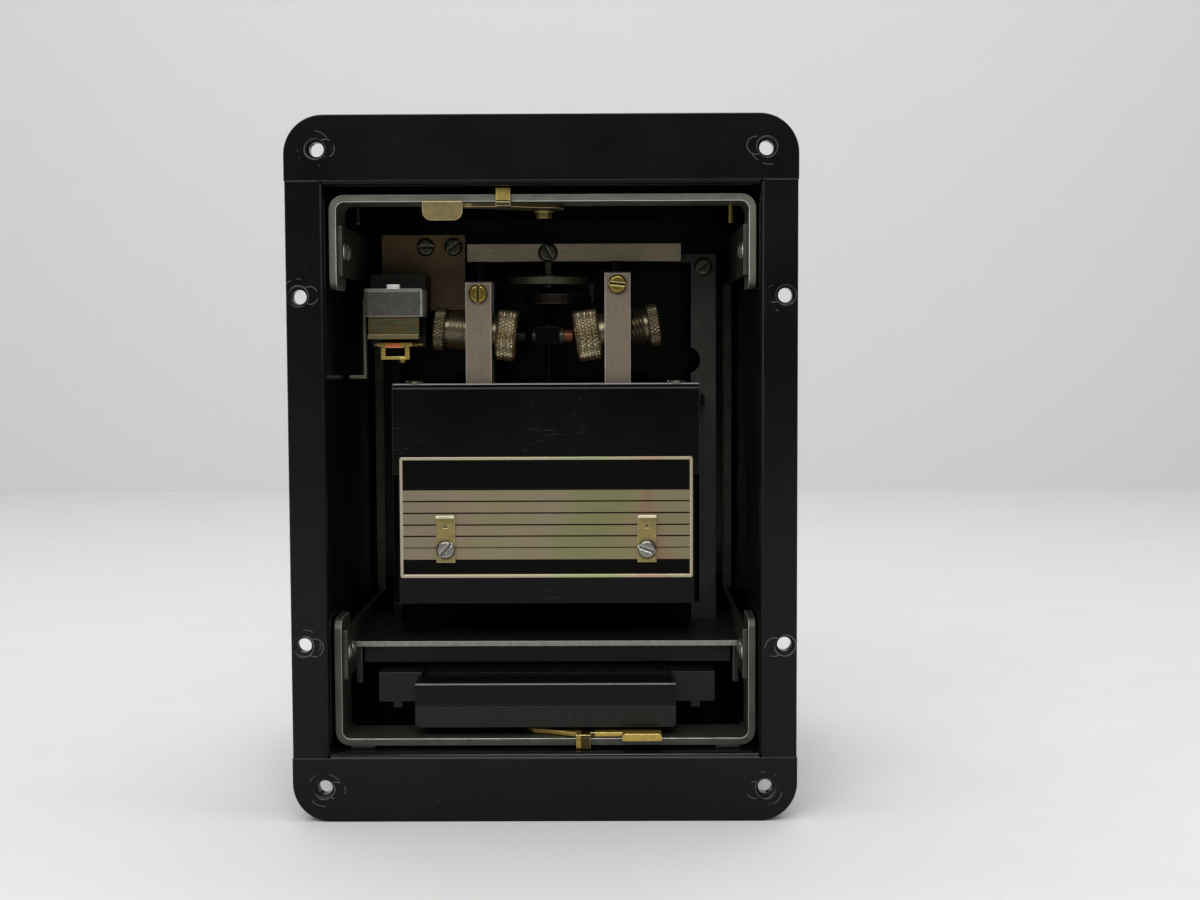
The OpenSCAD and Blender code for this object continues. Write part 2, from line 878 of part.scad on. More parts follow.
module top_bearing() {
    color("#8f8f8a") translate([0, axis_y, 0]) {
        translate([0, 0, unit_z + shaft_top + run_gap]) cylinder(h = bar_z + bar_h - unit_z - shaft_top - run_gap, r = bearing_r);
        translate([0, 0, unit_z + shaft_top - bearing_pin_h]) cylinder(h = bearing_pin_h + 2 * run_gap, r = bearing_pin_r);
    }
}

module lower_bearing() {
    color("#8f8f8a") translate([0, axis_y, 0]) difference() {
        union() {
            block([-stator_r, -lower_plate_w / 2, lower_z - lower_plate_t], [stator_r, lower_plate_w / 2, lower_z]);
            for (s = [-1, 1]) translate([s * (stator_r - lower_leg_w / 2) - lower_leg_w / 2, -lower_plate_w / 2, lower_z])
                cube([lower_leg_w, lower_plate_w, stator_z0 - lower_z]);
            translate([0, 0, lower_z - lower_plate_t - jewel_h])
                cylinder(h = jewel_h + lower_plate_t + jewel_h / 2, r = jewel_r);
        }
        translate([0, 0, lower_z - lower_plate_t]) cylinder(h = lower_plate_t + jewel_h, r = shaft_r + pin_gap);
    }
}

module pole_rays(w, h, r) {
    for (i = [0:poles - 1]) rotate([0, 0, (i + 1 / 2) * 360 / poles]) translate([0, -w / 2, 0]) cube([r, w, h]);
}

// Laminated ring with eight poles reaching in to the cup
module stator() {
    gap_r = cup_r + air_gap;
    color("#4a4b4a") translate([0, axis_y, stator_z0]) {
        difference() {
            union() {
                difference() {
                    cylinder(h = stator_h, r = stator_r);
                    translate([0, 0, -over]) cylinder(h = stator_h + 2 * over, r = stator_r - yoke_t);
                }
                pole_rays(pole_w, stator_h, stator_r - yoke_t / 2);
            }
            translate([0, 0, -over]) cylinder(h = stator_h + 2 * over, r = gap_r);
        }
    }
}

module stator_coils() {
    r1 = sqrt(pow(stator_r - yoke_t - coil_gap, 2) - pow(pole_w / 2 + coil_t, 2));
    color("#8a3b22") translate([0, axis_y, stator_z0 + coil_over / 2]) difference() {
        for (i = [0:poles - 1]) rotate([0, 0, (i + 1 / 2) * 360 / poles])
            translate([r1 - coil_len, -pole_w / 2 - coil_t, 0]) cube([coil_len, pole_w + 2 * coil_t, stator_h - coil_over]);
        translate([0, 0, -over]) pole_rays(pole_w + 2 * coil_gap, stator_h + 2 * over, stator_r);
    }
}

module stator_core() {
    core_r = cup_r - cup_t - air_gap;
    color("#565756") translate([0, axis_y, stator_z0]) difference() {
        cylinder(h = stator_h, r = core_r);
        translate([0, 0, -over]) cylinder(h = stator_h + 2 * over, r = shaft_r + shaft_bore_gap);
    }
}

module nameplate_bracket() {
    z1 = plate_z + plate_t;
    z0 = z1 - plate_h;
    half = plate_w / 2 - wing_r;
    color("#161616") difference() {
        union() {
            // Front sheet, rolled back over the top into the flange
            along_x(-plate_w / 2, plate_w / 2) polygon(concat(
                [[plate_y, z0 + wing_h]],
                arc([plate_y + plate_r, z1 - plate_r], plate_r, 180, 90),
                [[plate_y + plate_flange_d, z1], [plate_y + plate_flange_d, z1 - plate_t]],
                arc([plate_y + plate_r, z1 - plate_r], plate_r - plate_t, 90, 180),
                [[plate_y + plate_t, z0 + wing_h]]
            ));
            block([-half, plate_y, z0], [half, plate_y + plate_t, z0 + wing_h]);
            // Wings fold back along the lower part of both sides
            for (s = [0, 1]) mirror([s, 0, 0]) translate([half, 0, z0]) linear_extrude(height = wing_h)
                polygon(concat(
                    arc([0, plate_y + wing_r], wing_r, 270, 360),
                    [[wing_r, plate_y + wing_d], [wing_r - plate_t, plate_y + wing_d]],
                    arc([0, plate_y + wing_r], wing_r - plate_t, 360, 270)
                ));
        }
        for (s = [-1, 1]) translate([s * flange_screw_x, plate_y + plate_flange_d / 2 + plate_t / 2, plate_z - over])
            cylinder(h = plate_t + 2 * over, r = screw_r);
    }
}

module nameplate() {
    z1 = plate_z + plate_t - name_drop;
    z0 = z1 - name_h;
    face = plate_y - name_t;
    color("#a9a491") difference() {
        translate([0, 0, (z0 + z1) / 2]) upright(face, plate_y) rounded_rect(name_w, name_h, name_r);
        // The dark bands are etched a little below the bright border
        block([name_border - name_w / 2, face - over, z1 - name_border - name_h * head_share],
            [name_w / 2 - name_border, face + name_relief, z1 - name_border]);
        block([name_border - name_w / 2, face - over, z0 + name_border],
            [name_w / 2 - name_border, face + name_relief, z0 + name_border + name_h * foot_share]);
        for (s = [-1, 1]) rod_y(s * clip_x, clip_z0() + clip_screw_rise, screw_r, face - over, plate_y + over);
    }
}

function clip_z0() = plate_z + plate_t - name_drop - clip_drop - clip_h;

// Flat brass clip whose top edge is folded forwards
module nameplate_clips() {
    face = plate_y - name_t;
    color("#b3a04e") for (s = [-1, 1]) difference() {
        union() {
            block([s * clip_x - clip_w / 2, face - clip_t, clip_z0()], [s * clip_x + clip_w / 2, face, clip_z0() + clip_h]);
            block([s * clip_x - clip_w / 2, face - clip_t - clip_lip, clip_z0() + clip_h - clip_t],
                [s * clip_x + clip_w / 2, face - clip_t / 2, clip_z0() + clip_h]);
        }
        rod_y(s * clip_x, clip_z0() + clip_screw_rise, screw_r, face - clip_t - over, plate_y);
        upright(face - clip_t - over, face + over) translate([s * clip_x, clip_z0() + clip_nick_rise])
            polygon([[-clip_nick_w / 2, 0], [clip_nick_w / 2, 0], [0, clip_nick_h]]);
    }
}

module clip_screws() {
    color("#c9c7bb") for (s = [-1, 1]) translate([s * clip_x, plate_y - name_t - clip_t, clip_z0() + clip_screw_rise])
        slotted_screw(screw_head_r, screw_head_h, screw_r, name_t + clip_t, s < 0 ? left_clip_turn : right_clip_turn);
}

module steel_screws() {
    x0 = right_support_x1 - support_w;
    color("#8c8b80") {
        translate([0, bar_y + bar_screw_sink, bar_z + bar_h / 2])
            slotted_screw(screw_head_r, screw_head_h, screw_r, bar_d / 2 - bar_screw_sink - bearing_r, bar_screw_turn);
        translate([x0 + support_w / 2, support_y, support_top - support_screw_drop])
            slotted_screw(screw_head_r, screw_head_h, screw_r, support_t, support_screw_turn);
        for (i = [0, 1]) translate([i * plate_screw_pitch - plate_screw_x, insulator_y, insulator_top - plate_screw_drop])
            slotted_screw(screw_head_r, screw_head_h, screw_r, insulator_t + support_t, i * plate_screw_turn);
        for (s = [-1, 1]) translate([s * flange_screw_x, plate_y + plate_flange_d / 2 + plate_t / 2, plate_z + plate_t])
            rotate([-90, 0, 0]) slotted_screw(screw_head_r, screw_head_h - screw_slot_w, screw_r, plate_t + base_t, flange_screw_turn);
    }
}

// Places a child that points along +X on a barrel's sloping axis, the cap's centre at its origin.
// side is -1 for the left barrel and 1 for the right one
module on_barrel(side) {
    translate([side * cap_x, barrel_y, barrel_z]) rotate([0, side < 0 ? 180 + left_slope : -right_slope, 0]) children();
}

module x_rod(x0, x1, r) {
    translate([x0, 0, 0]) rotate([0, 90, 0]) cylinder(h = x1 - x0, r = r);
}

// Upright bar bored for the sloping barrel and split above the bore, so the screw at the front clamps it
module contact_block(side, x, h) {
    y1 = contact_block_y + block_d;
    difference() {
        along_x(side * x - block_w / 2, side * x + block_w / 2) polygon([
            [contact_block_y, plate_z], [y1, plate_z], [y1, plate_z + h],
            [contact_block_y + block_chamfer, plate_z + h], [contact_block_y, plate_z + h - block_chamfer]
        ]);
        on_barrel(side) x_rod(-barrel_len, 2 * barrel_len, barrel_r + bore_gap);
        block([side * x - block_w, barrel_y - block_slit / 2, barrel_z],
            [side * x + block_w, barrel_y + block_slit / 2, plate_z + h + over]);
        rod_y(side * x, plate_z + h - clamp_drop, screw_r, contact_block_y - over, y1 - over);
    }
}

module left_contact_block() {
    color("#aaa8a3") contact_block(-1, left_block_x, left_block_h);
}

module right_contact_block() {
    color("#aaa8a3") contact_block(1, right_block_x, right_block_h);
}

module clamp_screws() {
    color("#c0a348") {
        translate([-left_block_x, contact_block_y, plate_z + left_block_h - clamp_drop])
            slotted_screw(screw_head_r, screw_head_h, screw_r, block_d - 2 * over, left_clamp_turn);
        translate([right_block_x, contact_block_y, plate_z + right_block_h - clamp_drop])
            slotted_screw(screw_head_r, screw_head_h, screw_r, block_d - 2 * over, right_clamp_turn);
    }
}

// Tube closed at its outer end, with a flange and a groove behind it
module contact_barrel(side) {
    x1 = barrel_len;
    on_barrel(side) difference() {
        union() {
            x_rod(cap_face_t + diaphragm_t - cap_len(side) / 2, x1, barrel_r);
            x_rod(x1 - barrel_flange_len, x1, barrel_flange_r);
        }
        x_rod(-barrel_len, x1 - barrel_end_t, barrel_bore_r);
        translate([x1 - barrel_flange_len - groove_w, 0, 0]) difference() {
            x_rod(0, groove_w, barrel_flange_r);
            x_rod(-over, groove_w + over, barrel_r - barrel_groove);
        }
    }
}

module left_contact_barrel() {
    color("#8f8a7a") contact_barrel(-1);
}

module right_contact_barrel() {
    color("#8f8a7a") contact_barrel(1);
}

// Cap screwed on the barrel: V flutes round its rim between two plain bevelled collars
module contact_cap(side) {
    root_r = cap_r - cap_tooth;
    len = cap_len(side);
    on_barrel(side) difference() {
        translate([-len / 2, 0, 0]) rotate([0, 90, 0]) {
            translate([0, 0, cap_bevel]) linear_extrude(height = len - 2 * cap_bevel)
                polygon([for (i = [0:2 * cap_teeth - 1]) let (r = cap_r - (i % 2) * cap_tooth)
                    r * [cos(i * 180 / cap_teeth), sin(i * 180 / cap_teeth)]]);
            cylinder(h = len, r = root_r - cap_tooth / 2);
        }
        x_rod(cap_face_t - len / 2, len, barrel_r + bore_gap);
        x_rod(-len, len, button_r + bore_gap);
    }
}

module left_contact_cap() {
    color("#a49f8f") contact_cap(-1);
}

module right_contact_cap() {
    color("#a49f8f") contact_cap(1);
}

// A button on a thin disc that the cap holds against the barrel's mouth
module fixed_contacts() {
    color("#b98a5a") for (side = [-1, 1]) on_barrel(side) {
        out = side < 0 ? left_button_out : right_button_out;
        x0 = -cap_len(side) / 2;
        x_rod(x0 - out, x0 + cap_face_t + diaphragm_t / 2, button_r);
        x_rod(x0 + cap_face_t, x0 + cap_face_t + diaphragm_t, diaphragm_r);
    }
}

module damper_balls() {
    color("#b5b5b2") for (side = [-1, 1]) on_barrel(side)
        translate([cap_face_t + diaphragm_t - cap_len(side) / 2 + ball_r + run_gap, 0, 0]) sphere(ball_r);
}

module insulating_plate() {
    color("#4a3620") difference() {
        union() {
            block([insulator_x, insulator_y, insulator_top - insulator_step_h],
                [insulator_x + insulator_w, support_y, insulator_top]);
            block([insulator_x + insulator_step_w, insulator_y, insulator_top - insulator_h],
                [insulator_x + insulator_w, support_y, insulator_top]);
        }
        plate_screw_holes(insulator_y - over, support_y + over);
    }
}

module target_base() {
    z1 = hood_z1 + target_base_rise;
    notch = armature_w / 2 + over;
    color("#131313") difference() {
        block([hood_x - target_base_w / 2, target_base_y, z1 - target_base_h],
            [hood_x + target_base_w / 2, insulator_y, z1]);
        // Notch that takes the armature's rear edge, between two pin holes
        block([hood_x - notch, target_base_y - over, armature_z - over],
            [hood_x + notch, target_base_y + 2 * armature_pin_r + over, armature_z + armature_t + over]);
        translate([hood_x, target_base_y + armature_pin_r, armature_z + armature_t / 2])
            x_rod(-notch - armature_pin_in - run_gap, notch + armature_pin_in + run_gap, armature_pin_r + pin_gap);
    }
}

// Side view of the hood, with the bend between its front and its roof
module hood_side() {
    d = target_base_y - hood_y;
    translate([-d, 0]) square([d, hood_h - hood_r]);
    translate([hood_r - d, 0]) square([d - hood_r, hood_h]);
    translate([hood_r - d, hood_h - hood_r]) circle(hood_r);
}

// Folded hood over the coil, open at the back and below, with a pale tab on its roof
module target_hood() {
    color("#a7a8a8") translate([hood_x, 0, 0]) {
        difference() {
            intersection() {
                upright(hood_y, target_base_y) translate([0, hood_z0]) arched(hood_w, hood_h, hood_r);
                translate([0, target_base_y, hood_z0]) linear_extrude(height = hood_h) mirror([0, 1])
                    arched(hood_w, target_base_y - hood_y, hood_r);
                along_x(-hood_w, hood_w) translate([target_base_y, hood_z0]) hood_side();
            }
            upright(hood_y + hood_t, target_base_y + over) translate([0, hood_z0 - over])
                arched(hood_w - 2 * hood_t, hood_h + over - hood_t, hood_r - hood_t);
        }
        translate([-hood_tab_w / 2, hood_y + hood_t, hood_z1 - hood_t / 2])
            cube([hood_tab_w, hood_tab_w / 2, hood_t / 2 + hood_tab_h]);
    }
}

// Coil spool with its core, its axis upright
module target_coil() {
    cy = (hood_y + hood_t + yoke_sheet + target_base_y) / 2;
    z0 = yoke_z0 + yoke_sheet;
    z1 = hood_z1 - hood_t - run_gap;
    color("#7a4a22") translate([hood_x, cy, 0]) {
        translate([0, 0, z0]) cylinder(h = z1 - z0, r = target_coil_r - coil_cheek_t);
        for (z = [z0, z1 - coil_cheek_t]) translate([0, 0, z]) cylinder(h = coil_cheek_t, r = target_coil_r);
    }
}

// Steel front plate with a lip folded forwards along its lower edge and a pole strip under the coil
module target_yoke() {
    color("#94803c") translate([hood_x, 0, 0]) {
        block([-yoke_w / 2, hood_y + hood_t, yoke_z0], [yoke_w / 2, hood_y + hood_t + yoke_sheet, hood_z0 + hood_r]);
        block([-yoke_w / 2, hood_y - yoke_lip / 2, yoke_z0], [yoke_w / 2, hood_y + hood_t + yoke_sheet / 2, yoke_z0 + yoke_lip_h]);
        block([-yoke_w / 2, hood_y + hood_t, yoke_z0], [yoke_w / 2, target_base_y, yoke_z0 + yoke_sheet]);
    }
}

// Hinged at the rear edge; carries the flag at its front and the bridging contact below
module armature() {
    y0 = hood_y + armature_setback;
    y1 = target_base_y + armature_pin_r;
    z0 = armature_z;
    pin = armature_w / 2 + over + armature_pin_in;
    translate([hood_x, 0, 0]) {
        color("#6f6b58") {
            block([-armature_w / 2, y0, z0], [armature_w / 2, y1, z0 + armature_t]);
            translate([0, y1, z0 + armature_t / 2]) x_rod(-pin, pin, armature_pin_r);
        }
        color("#b4472a")
            block([-flag_w / 2, y0 - flag_t, z0 + armature_t - flag_h], [flag_w / 2, y0 + flag_t, z0 + armature_t]);
        color("#b3974a") {
            for (s = [-1, 1]) translate([s * (bridge_w - bridge_post_w) / 2 - bridge_post_w / 2, y0 + flag_t, z0 - bridge_drop])
                cube([bridge_post_w, bridge_post_w, bridge_drop + armature_t / 2]);
            block([-bridge_w / 2, y0 + flag_t, z0 - bridge_drop - bridge_t],
                [bridge_w / 2, y0 + flag_t + 2 * bridge_post_w, z0 - bridge_drop]);
            translate([bridge_contact_x, y0 + flag_t + bridge_post_w, z0 - bridge_drop - bridge_t - bridge_contact_h])
                cylinder(h = bridge_contact_h + bridge_t / 2, r1 = bridge_contact_r / 2, r2 = bridge_contact_r);
        }
    }
}

// Strip beside the hood, its foot bent out where the cover's button pushes it up
module reset_lever() {
    x1 = hood_x - hood_w / 2 - run_gap;
    z1 = hood_z1 - lever_travel;
    color("#9d9c97") translate([x1, hood_y + lever_setback, 0]) {
        block([-lever_t, 0, z1 - lever_h], [0, lever_w, z1]);
        block([-lever_t - lever_foot, 0, z1 - lever_h], [-lever_t / 2, lever_w, z1 - lever_h + lever_t]);
    }
}

// Flat lever in plan: an eye round the pivot, an arm to the left and out to the front edge
module latch_plan() {
    difference() {
        union() {
            translate([0, pivot_y]) circle(latch_end_r);
            polygon([
                [0, pivot_y + latch_end_r], [-tab_x0, latch_w + cradle_y], [-tab_x0 - tab_w, latch_w + cradle_y],
                [-tab_x0 - tab_w, -tab_out], [-tab_x0, -tab_out], [-tab_x0, cradle_y + over],
                [-tongue_x - tongue_w, cradle_y + over], [-tongue_x - tongue_w, -tongue_out / 2 - over],
                [-tongue_x, -tongue_out / 2 - over], [-tongue_x, cradle_y + over],
                [0, pivot_y - latch_end_r]
            ]);
        }
        translate([0, pivot_y]) circle(pivot_r + pin_gap);
    }
}

// The lever lies under the bracket; tab_drop is how far the finger tab is folded down, rise the tongue's height
module latch(tab_drop, rise) {
    z1 = cradle_z1 - bracket_t - run_gap;
    r = min(tab_r, tab_drop / 2);
    translate([0, 0, z1 - latch_t]) linear_extrude(height = latch_t) latch_plan();
    translate([-tab_x0 - tab_w / 2, 0, z1]) mirror([0, 0, 1])
        upright(-tab_out, latch_t - tab_out) arched(tab_w, tab_drop, r);
    block([-tongue_x - tongue_w, cradle_y - run_gap - latch_t, z1 - latch_t],
        [-tongue_x, cradle_y - run_gap, z1 + rise]);
}

module top_latch() {
    color("#a8873c") latch(tab_h, tongue_h);
}

// The bottom latch is the same lever turned over end for end
module turned_over() {
    translate([0, 0, cradle_z0 + cradle_z1]) rotate([0, 180, 0]) children();
}

module bottom_latch() {
    color("#a8873c") turned_over() latch(low_tab_h, low_tongue_h);
}

module latch_pivot(nut_h) {
    z1 = cradle_z1 - bracket_t - 2 * run_gap - latch_t;
    translate([0, pivot_y, z1]) {
        cylinder(h = cradle_z1 - z1, r = pivot_r);
        translate([0, 0, -pivot_head_h]) cylinder(h = pivot_head_h, r = pivot_head_r);
        if (nut_h > 0) translate([0, 0, -pivot_head_h - nut_h]) cylinder(h = nut_h, r = pivot_nut_r, $fn = 6);
    }
}

// The top latch's pivot, and the plain pins that hang from both ends of the same bracket
module top_latch_pivot() {
    color("#b9a56a") {
        latch_pivot(pivot_nut_h);
        for (s = [-1, 1])
            translate([s * bracket_pin_x, cradle_y + bracket_d - bracket_pin_inset, cradle_z1 - bracket_t - bracket_pin_h])
                cylinder(h = bracket_pin_h + bracket_t, r = bracket_pin_r);
    }
}

module bottom_latch_pivot() {
    color("#b9a56a") turned_over() latch_pivot(0);
}

module plug_body() {
    z0 = plug_top_z - plug_h;
    color("#3d3e3e") {
        difference() {
            block([-plug_w / 2, plug_y, z0], [plug_w / 2, plug_y + plug_d, plug_top_z]);
            block([over - handle_w / 2, plug_y - over, plug_top_z - plug_step_h],
                [handle_w / 2 - over, plug_y + plug_step_d, plug_top_z + over]);
        }
        for (s = [-1, 1]) translate([s * (plug_w / 2 - plug_foot_inset - plug_foot_w / 2) - plug_foot_w / 2, plug_y, z0 - plug_foot_h])
            cube([plug_foot_w, plug_d / 2, plug_foot_h]);
    }
}

// Moulded grip with round lower edges and a parting line along the front
module plug_handle() {
    color("#2b2c2c") difference() {
        upright(handle_y, plug_y) translate([0, handle_z0 + handle_h]) mirror([0, 1])
            arched(handle_w, handle_h, handle_edge_r);
        translate([-handle_w / 2 - over, handle_y - over, handle_z0 + handle_h * handle_seam_share])
            cube([handle_w + 2 * over, over + handle_seam, handle_seam]);
    }
}

module plug_blades() {
    z0 = plug_top_z - plug_h;
    color("#b08d46") for (i = [0:circuits - 1], z = [z0, plug_top_z - blade_t])
        translate([finger_x(i) - finger_w / 2, plug_y + plug_d, z]) cube([finger_w, blade_d, blade_t]);
}

// Shaft, cup, contact arm and its two contacts turn as one piece
module rotor() {
    z_arm = barrel_z - arm_h / 2;
    translate([0, axis_y, 0]) {
        color("#9b9b97") difference() {
            translate([0, 0, lower_z - lower_plate_t + run_gap])
                cylinder(h = unit_z + shaft_top - lower_z + lower_plate_t - run_gap, r = shaft_r);
            translate([0, 0, unit_z + shaft_top - bearing_pin_h - run_gap])
                cylinder(h = bearing_pin_h + over, r = bearing_pin_r + pin_gap);
        }
        color("#8d8d8a") difference() {
            translate([0, 0, cup_z0]) cylinder(h = stator_h + cup_over - run_gap, r = cup_r);
            translate([0, 0, cup_z0 + cup_t]) cylinder(h = stator_h + cup_over, r = cup_r - cup_t);
        }
        color("#121212") {
            translate([0, 0, barrel_z - hub_h / 2]) cylinder(h = hub_h, r = hub_r);
            translate([0, 0, unit_z + adjuster_z - spring_drop]) cylinder(h = spring_h, r = collar_r);
            block([-arm_left, -arm_len, z_arm], [arm_right, 0, z_arm + arm_h]);
        }
        color("#c9b9a0") translate([0, barrel_y - axis_y, barrel_z - over / 2]) {
            x_rod(-arm_left - left_moving_len, -arm_left / 2, moving_r);
            x_rod(arm_right / 2, arm_right + moving_collar_len, moving_collar_r);
            x_rod(arm_right / 2, arm_right + right_moving_len, moving_r);
        }
    }
}

function spiral(r_off, i) = let (t = i / spring_steps, a = 360 * spring_turns * t,
    r = spring_r0 + (spring_coil_r - spring_r0) * t + (adjuster_r - spring_coil_r) * pow(t, spring_tail_power))
    (r + r_off) * [cos(a), sin(a)];

// Ring, hub and lug, with the flat control spring that the lug anchors
module adjuster() {
    z0 = unit_z + adjuster_z;
    translate([0, axis_y, 0]) {
        color("#777468") {
            difference() {
                union() {
                    translate([0, 0, z0]) cylinder(h = adjuster_t, r = adjuster_r);
                    translate([0, 0, z0]) cylinder(h = adjuster_hub_h, r = adjuster_hub_r);
                    translate([0, 0, z0]) cylinder(h = adjuster_rim_h, r = adjuster_r);
                }
                translate([0, 0, z0 - over]) cylinder(h = adjuster_hub_h + 2 * over, r = bearing_r + pin_gap);
                translate([0, 0, z0 + adjuster_t]) difference() {
                    cylinder(h = adjuster_hub_h, r = adjuster_r - adjuster_rim_t);
                    translate([0, 0, -over]) cylinder(h = adjuster_hub_h + 2 * over, r = adjuster_hub_r);
                }
            }
            block([adjuster_r - lug_t, -lug_w / 2, z0 - lug_h], [adjuster_r + lug_t, lug_w / 2, z0 + adjuster_t / 2]);
        }
        color("#6b3f2c") translate([0, 0, z0 - spring_drop]) linear_extrude(height = spring_h)
            polygon(concat([for (i = [0:spring_steps]) spiral(-spring_t / 2, i)],
                [for (i = [spring_steps:-1:0]) spiral(spring_t / 2, i)]));
    }
}

case_top_end();
case_bottom_end();
case_left_side();
case_right_side();
case_back();
case_guides();
case_block();
case_fingers();
terminal_studs();
stud_nuts();
cradle_top_bracket();
cradle_bottom_bracket();
cradle_left_side();
cradle_right_side();
cradle_rivets();
cradle_shelf();
cradle_block();
cradle_fingers();
mounting_plate();
left_support();
right_support();
unit_plate();
contact_base();
top_bar();
bar_posts();
top_bearing();
lower_bearing();
stator();
stator_coils();
stator_core();
nameplate_bracket();
nameplate();
nameplate_clips();
clip_screws();
steel_screws();
left_contact_block();
right_contact_block();
clamp_screws();
left_contact_barrel();
right_contact_barrel();
left_contact_cap();
right_contact_cap();
fixed_contacts();
damper_balls();
insulating_plate();
target_base();
target_hood();
target_coil();
target_yoke();
top_latch_pivot();
bottom_latch_pivot();
top_latch();
bottom_latch();
plug_body();
plug_handle();
plug_blades();
rotor();
adjuster();
armature();
reset_lever();
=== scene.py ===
"""Looks of a drawout protection relay with its cover off.

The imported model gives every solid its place. This script gives the solids their finishes, adds the fine
surfaces that the solids leave out, and sets the camera, the table and the lights.
"""
import math

import bmesh
import bpy
import numpy as np
from mathutils import Matrix, Vector


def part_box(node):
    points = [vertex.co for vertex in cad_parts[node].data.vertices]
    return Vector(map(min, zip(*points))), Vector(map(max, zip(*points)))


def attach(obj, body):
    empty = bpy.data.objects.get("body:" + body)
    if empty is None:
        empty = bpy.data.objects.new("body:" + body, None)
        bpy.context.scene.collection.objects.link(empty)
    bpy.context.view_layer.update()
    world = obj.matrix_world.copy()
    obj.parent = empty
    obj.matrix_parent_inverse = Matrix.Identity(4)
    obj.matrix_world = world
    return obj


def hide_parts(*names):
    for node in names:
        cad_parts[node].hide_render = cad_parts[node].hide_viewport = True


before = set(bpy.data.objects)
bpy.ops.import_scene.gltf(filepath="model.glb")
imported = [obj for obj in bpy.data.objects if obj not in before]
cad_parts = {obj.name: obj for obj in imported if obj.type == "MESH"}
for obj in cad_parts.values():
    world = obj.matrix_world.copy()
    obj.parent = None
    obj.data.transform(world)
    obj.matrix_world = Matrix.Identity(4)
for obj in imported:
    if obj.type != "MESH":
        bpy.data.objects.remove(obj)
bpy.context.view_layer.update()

MM = 0.001

# The photograph, in its own pixels, and the camera that took it
IMAGE_W = 1200
FOCAL_PX = 1667.0
SENSOR_MM = 36.0
CAMERA_MM = (21.64, -554.52, 41.78)
CAMERA_PITCH = 0.0629
CAMERA_YAW = -0.0051
CAMERA_ROLL = -0.0039

# Table and wall
TABLE_Z_MM = -117.0
WALL_Y_MM = 1265.0
TABLE_HALF_MM = 3000.0
TABLE_FRONT_MM = -1600.0
WALL_H_MM = 2600.0

# Lamps: name, place, the point it is aimed at, width and height, and power in watts
LAMPS = (
    ("front top lamp", (-150, -1100, 900), (0, 0, 0), (1300, 800), 15),
    ("left lamp", (-1300, -500, 350), (0, 0, 0), (700, 900), 4),
    ("right lamp", (1300, -300, 500), (0, 0, 0), (700, 900), 4),
    ("table lamp", (0, 700, 1500), (0, 700, -117), (2400, 1400), 20),
    ("edge lamp", (0, -150, 1500), (0, 0, 0), (420, 180), 5),
)
WORLD_WHITE = "#ebeae2"
WORLD_STRENGTH = 0.2

# Contact barrels: each cap's centre, and how many degrees its axis rises outwards
CAP_CENTRE_MM = {"left": (-14.4, 40.0, 45.4), "right": (14.4, 40.0, 45.4)}
BARREL_SLOPE = {"left": 5.6, "right": 8.2}

# Knurled caps: half the length, outside, bevel, bore for the tube, floor, and hole for the contact button
CAP_HALF_MM = {"left": 3.6, "right": 4.35}
CAP_R_MM = 9.2
CAP_BEVEL_MM = 0.55
CAP_BORE_R_MM = 7.05
CAP_FLOOR_MM = 1.6
BUTTON_HOLE_R_MM = 2.05

# Tubes: bore, the start inside the cap, the closed outer end, and the flange with the groove before it
TUBE_R_MM = 7.0
TUBE_BORE_R_MM = 5.0
TUBE_START_MM = 2.2
TUBE_END_MM = 25.8
TUBE_PLUG_MM = 2.0
FLANGE_R_MM = 7.7
FLANGE_W_MM = 4.2
INNER_BEVEL_MM = 0.3
OUTER_BEVEL_MM = 0.4
GROOVE_W_MM = 1.2
GROOVE_DEPTH_MM = 0.6

# The left tube's thread is worn almost smooth. The real thread is finer, and the real knurl has a pitch
# of 1.2 mm on the left cap and 1.0 mm on the right: both are drawn coarser, so that they show in the
# render
THREAD_LENGTH_MM = 7.0
THREAD_PITCH_MM = 0.6
THREAD_DEPTH_MM = {"left": 0.1, "right": 0.32}
KNURL_PITCH_MM = {"left": 1.5, "right": 1.4}
KNURL_DEPTH_MM = 0.6
FLANGE_KNURL_PITCH_MM = 1.3
FLANGE_KNURL_DEPTH_MM = 0.36
KNURL_STRETCH = 1.6

# Steps of the turned meshes: round the axis, and along it where the metal is cut or plain
CAP_STEPS = 540
CAP_STEP_MM = 0.09
TUBE_STEPS = 400
TUBE_STEP_MM = 0.08
PLAIN_STEP_MM = 3.0
HAIR_MM = 0.01

# Panel holes of one quarter, as (x, z), the head that stood on them, and how far a slipped washer lay
# beside them
PANEL_HOLES_MM = ((73.7, 106.0), (80.0, 57.9))
SCREW_HEAD_R_MM = 3.5
WASHER_SLIP_MM = 3.7

# Axes, and the comparisons of a Math node
X, Y, Z = 0, 1, 2
UNDER, OVER = "LESS_THAN", "GREATER_THAN"

# Where a solid of several colours changes from one to the next, in millimetres
YOKE_LIP_Z = 45.7
SHELF_EDGE_Y = 20.3
FLAG_FRONT_Y = 31.65
FLAG_LEFT_MM = 3.3
FLAG_RIGHT_MM = 2.3
ARMATURE_FRAME_Z = 41.55
SHAFT_Z = 41.85
LEFT_CONTACT_X = -4.02
ARM_X = 4.42
TIP_X = 5.9
HUB_Z = 48.95
ADJUSTER_TAB_X = 14.7
SPRING_Z = 60.6
HOOD_TOP_Z = 61.8
TOP_TONGUE_Z = 89.6
TOP_TAB_X = -23.4
LOW_TAB_X = 12.0
LOW_TONGUE_X = 16.7
DARK_PIN_X = -50.0
TOP_HIGHLIGHT_MM = 0.4
HANDLE_SEAM_SHARE = 0.475
HANDLE_CROWN_MM = 0.45
HANDLE_HIGHLIGHT_MM = 0.5
HOOD_TAB_MM = 0.05
HOOD_LEFT_RIM_MM = 0.7
HOOD_RIGHT_RIM_MM = 0.8
HOOD_TOP_RIM_MM = 0.7
CLIP_FOLD_MM = 1.3

